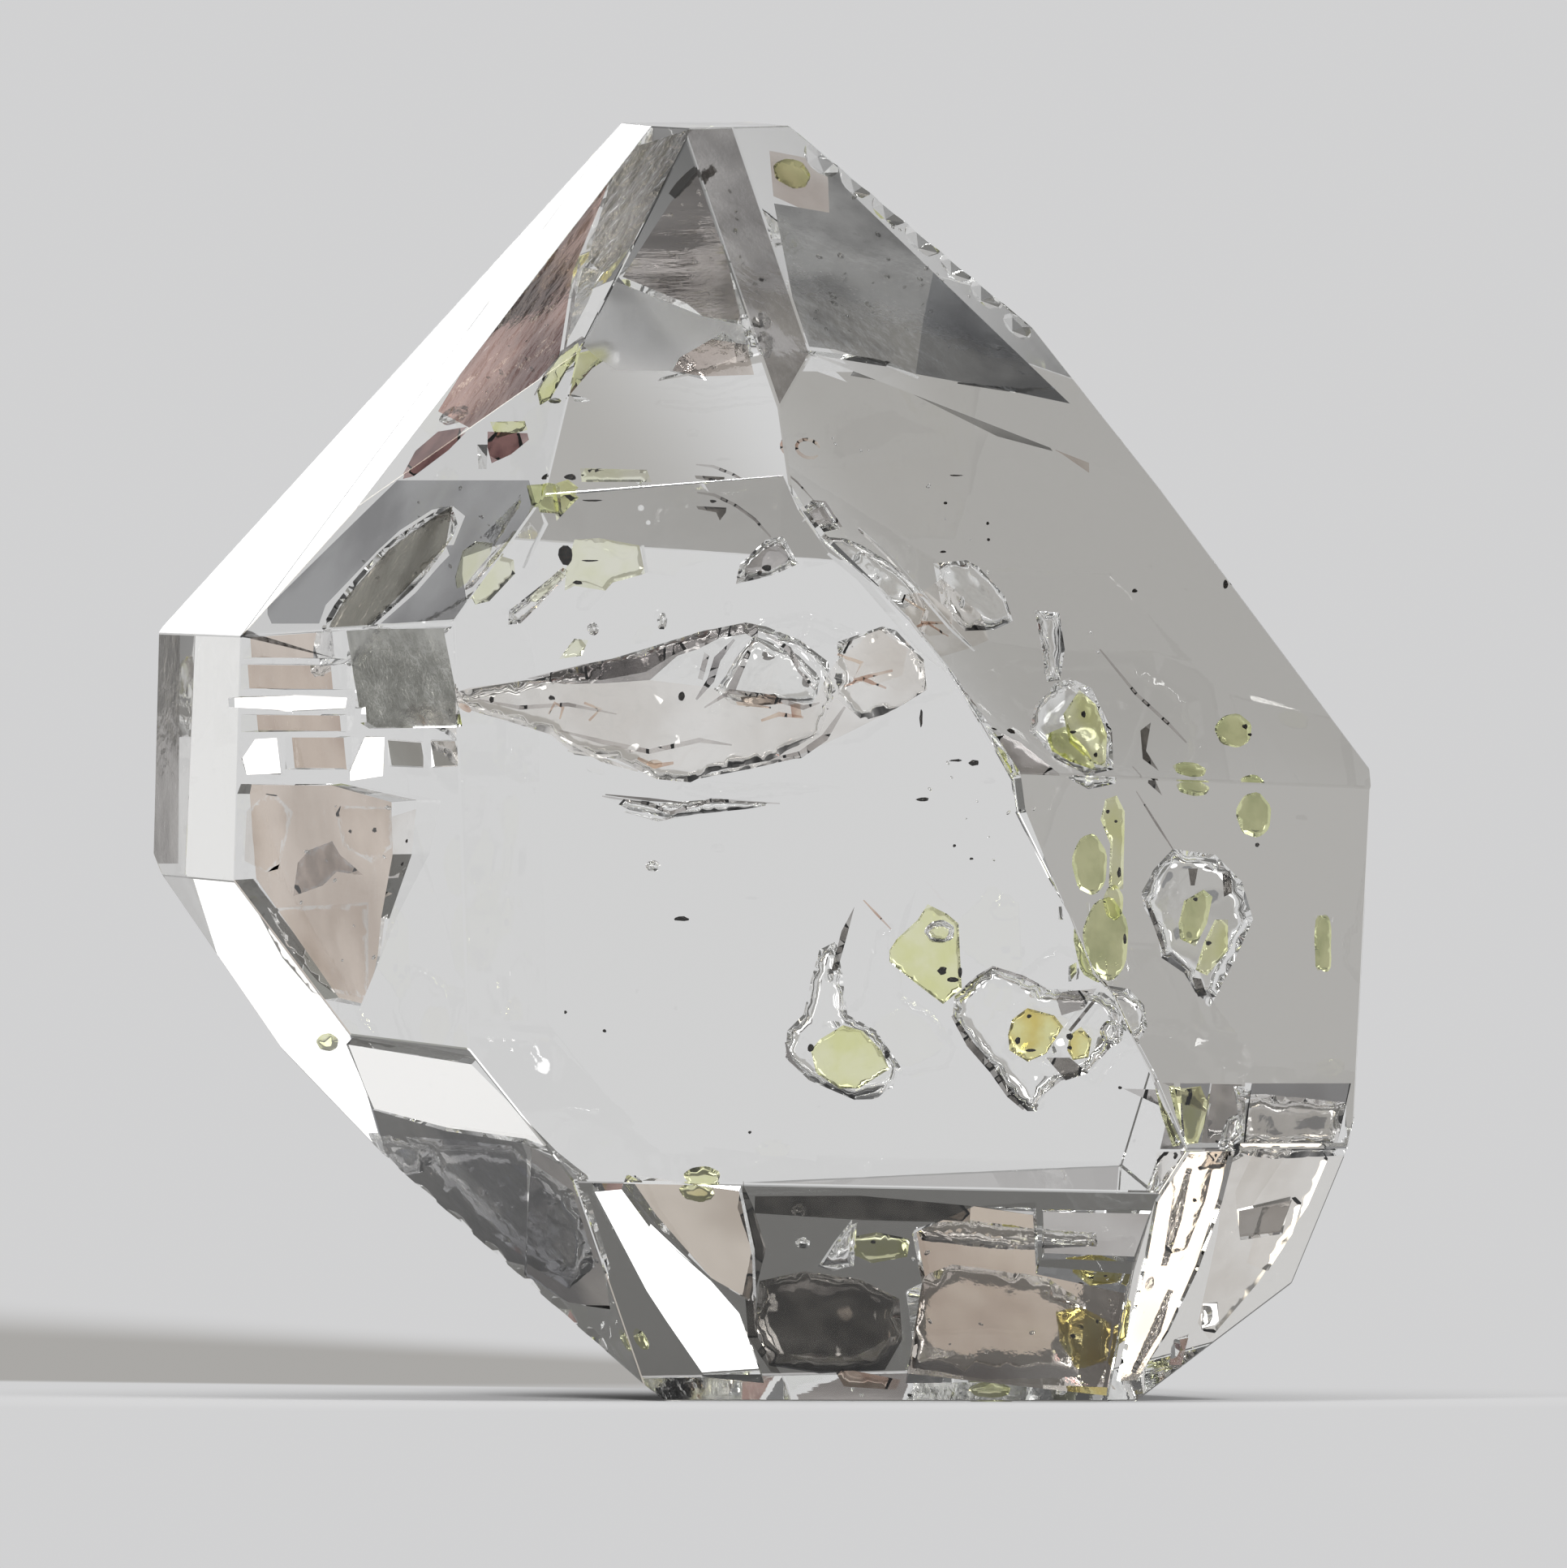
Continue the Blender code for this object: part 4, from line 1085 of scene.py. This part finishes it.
def make_floor():
    """A pale floor that melts into the pale wall with distance, with a painted shadow behind the crystal to
    the left and a painted patch of light far off to the right.
    """
    bm = bmesh.new()
    bmesh.ops.create_circle(bm, cap_ends=True, segments=128, radius=FLOOR_RADIUS)
    mesh = bpy.data.meshes.new("floor")
    bm.to_mesh(mesh)
    bm.free()
    floor = bpy.data.objects.new("floor", mesh)
    bpy.context.scene.collection.objects.link(floor)
    material = bpy.data.materials.new("floor")
    material.use_nodes = True
    tree = material.node_tree
    shader = tree.nodes["Principled BSDF"]
    shader.inputs["Base Color"].default_value = FLOOR_COLOUR
    shader.inputs["Roughness"].default_value = FLOOR_ROUGHNESS
    shader.inputs["Specular IOR Level"].default_value = 0.0
    place = tree.nodes.new("ShaderNodeTexCoord")
    length = tree.nodes.new("ShaderNodeVectorMath")
    length.operation = "LENGTH"
    tree.links.new(place.outputs["Object"], length.inputs[0])
    apart = tree.nodes.new("ShaderNodeVectorMath")
    apart.operation = "SUBTRACT"
    apart.inputs[1].default_value = FLOOR_APEX
    tree.links.new(place.outputs["Object"], apart.inputs[0])
    unit = tree.nodes.new("ShaderNodeVectorMath")
    unit.operation = "NORMALIZE"
    tree.links.new(apart.outputs["Vector"], unit.inputs[0])
    glow = tree.nodes.new("ShaderNodeEmission")
    side_light_mask = ramp(tree, length.outputs["Value"], *SIDE_LIGHT_REACH)
    shadow_mask = ramp(tree, length.outputs["Value"], *SHADOW_PAINT_START)
    plain_tone = surroundings(tree, unit.outputs["Vector"], [])
    painted_shadow_tone = surroundings(tree, unit.outputs["Vector"], SHADOW_CARDS)
    near_shadow_tone = mixed(tree, shadow_mask, plain_tone, painted_shadow_tone)
    far_shadow_and_light_tone = surroundings(tree, unit.outputs["Vector"], SHADOW_CARDS + [SIDE_LIGHT_CARD])
    tree.links.new(mixed(tree, side_light_mask, near_shadow_tone, far_shadow_and_light_tone), glow.inputs["Color"])
    blend = tree.nodes.new("ShaderNodeMixShader")
    tree.links.new(
        ramp(tree, length.outputs["Value"], FLOOR_NEAR, FLOOR_FAR), blend.inputs["Fac"]
    )
    tree.links.new(shader.outputs["BSDF"], blend.inputs[1])
    tree.links.new(glow.outputs["Emission"], blend.inputs[2])
    tree.links.new(blend.outputs["Shader"], tree.nodes["Material Output"].inputs["Surface"])
    mesh.materials.append(material)


def set_light_paths():
    """Enough bounces for light that is thrown about inside the crystal."""
    scene = bpy.context.scene
    scene.view_settings.view_transform = "Standard"
    scene.cycles.max_bounces = 32
    scene.cycles.transmission_bounces = 32
    scene.cycles.glossy_bounces = 16
    scene.cycles.caustics_reflective = False
    scene.cycles.caustics_refractive = False


make_world()
make_keys()
make_floor()
set_light_paths()
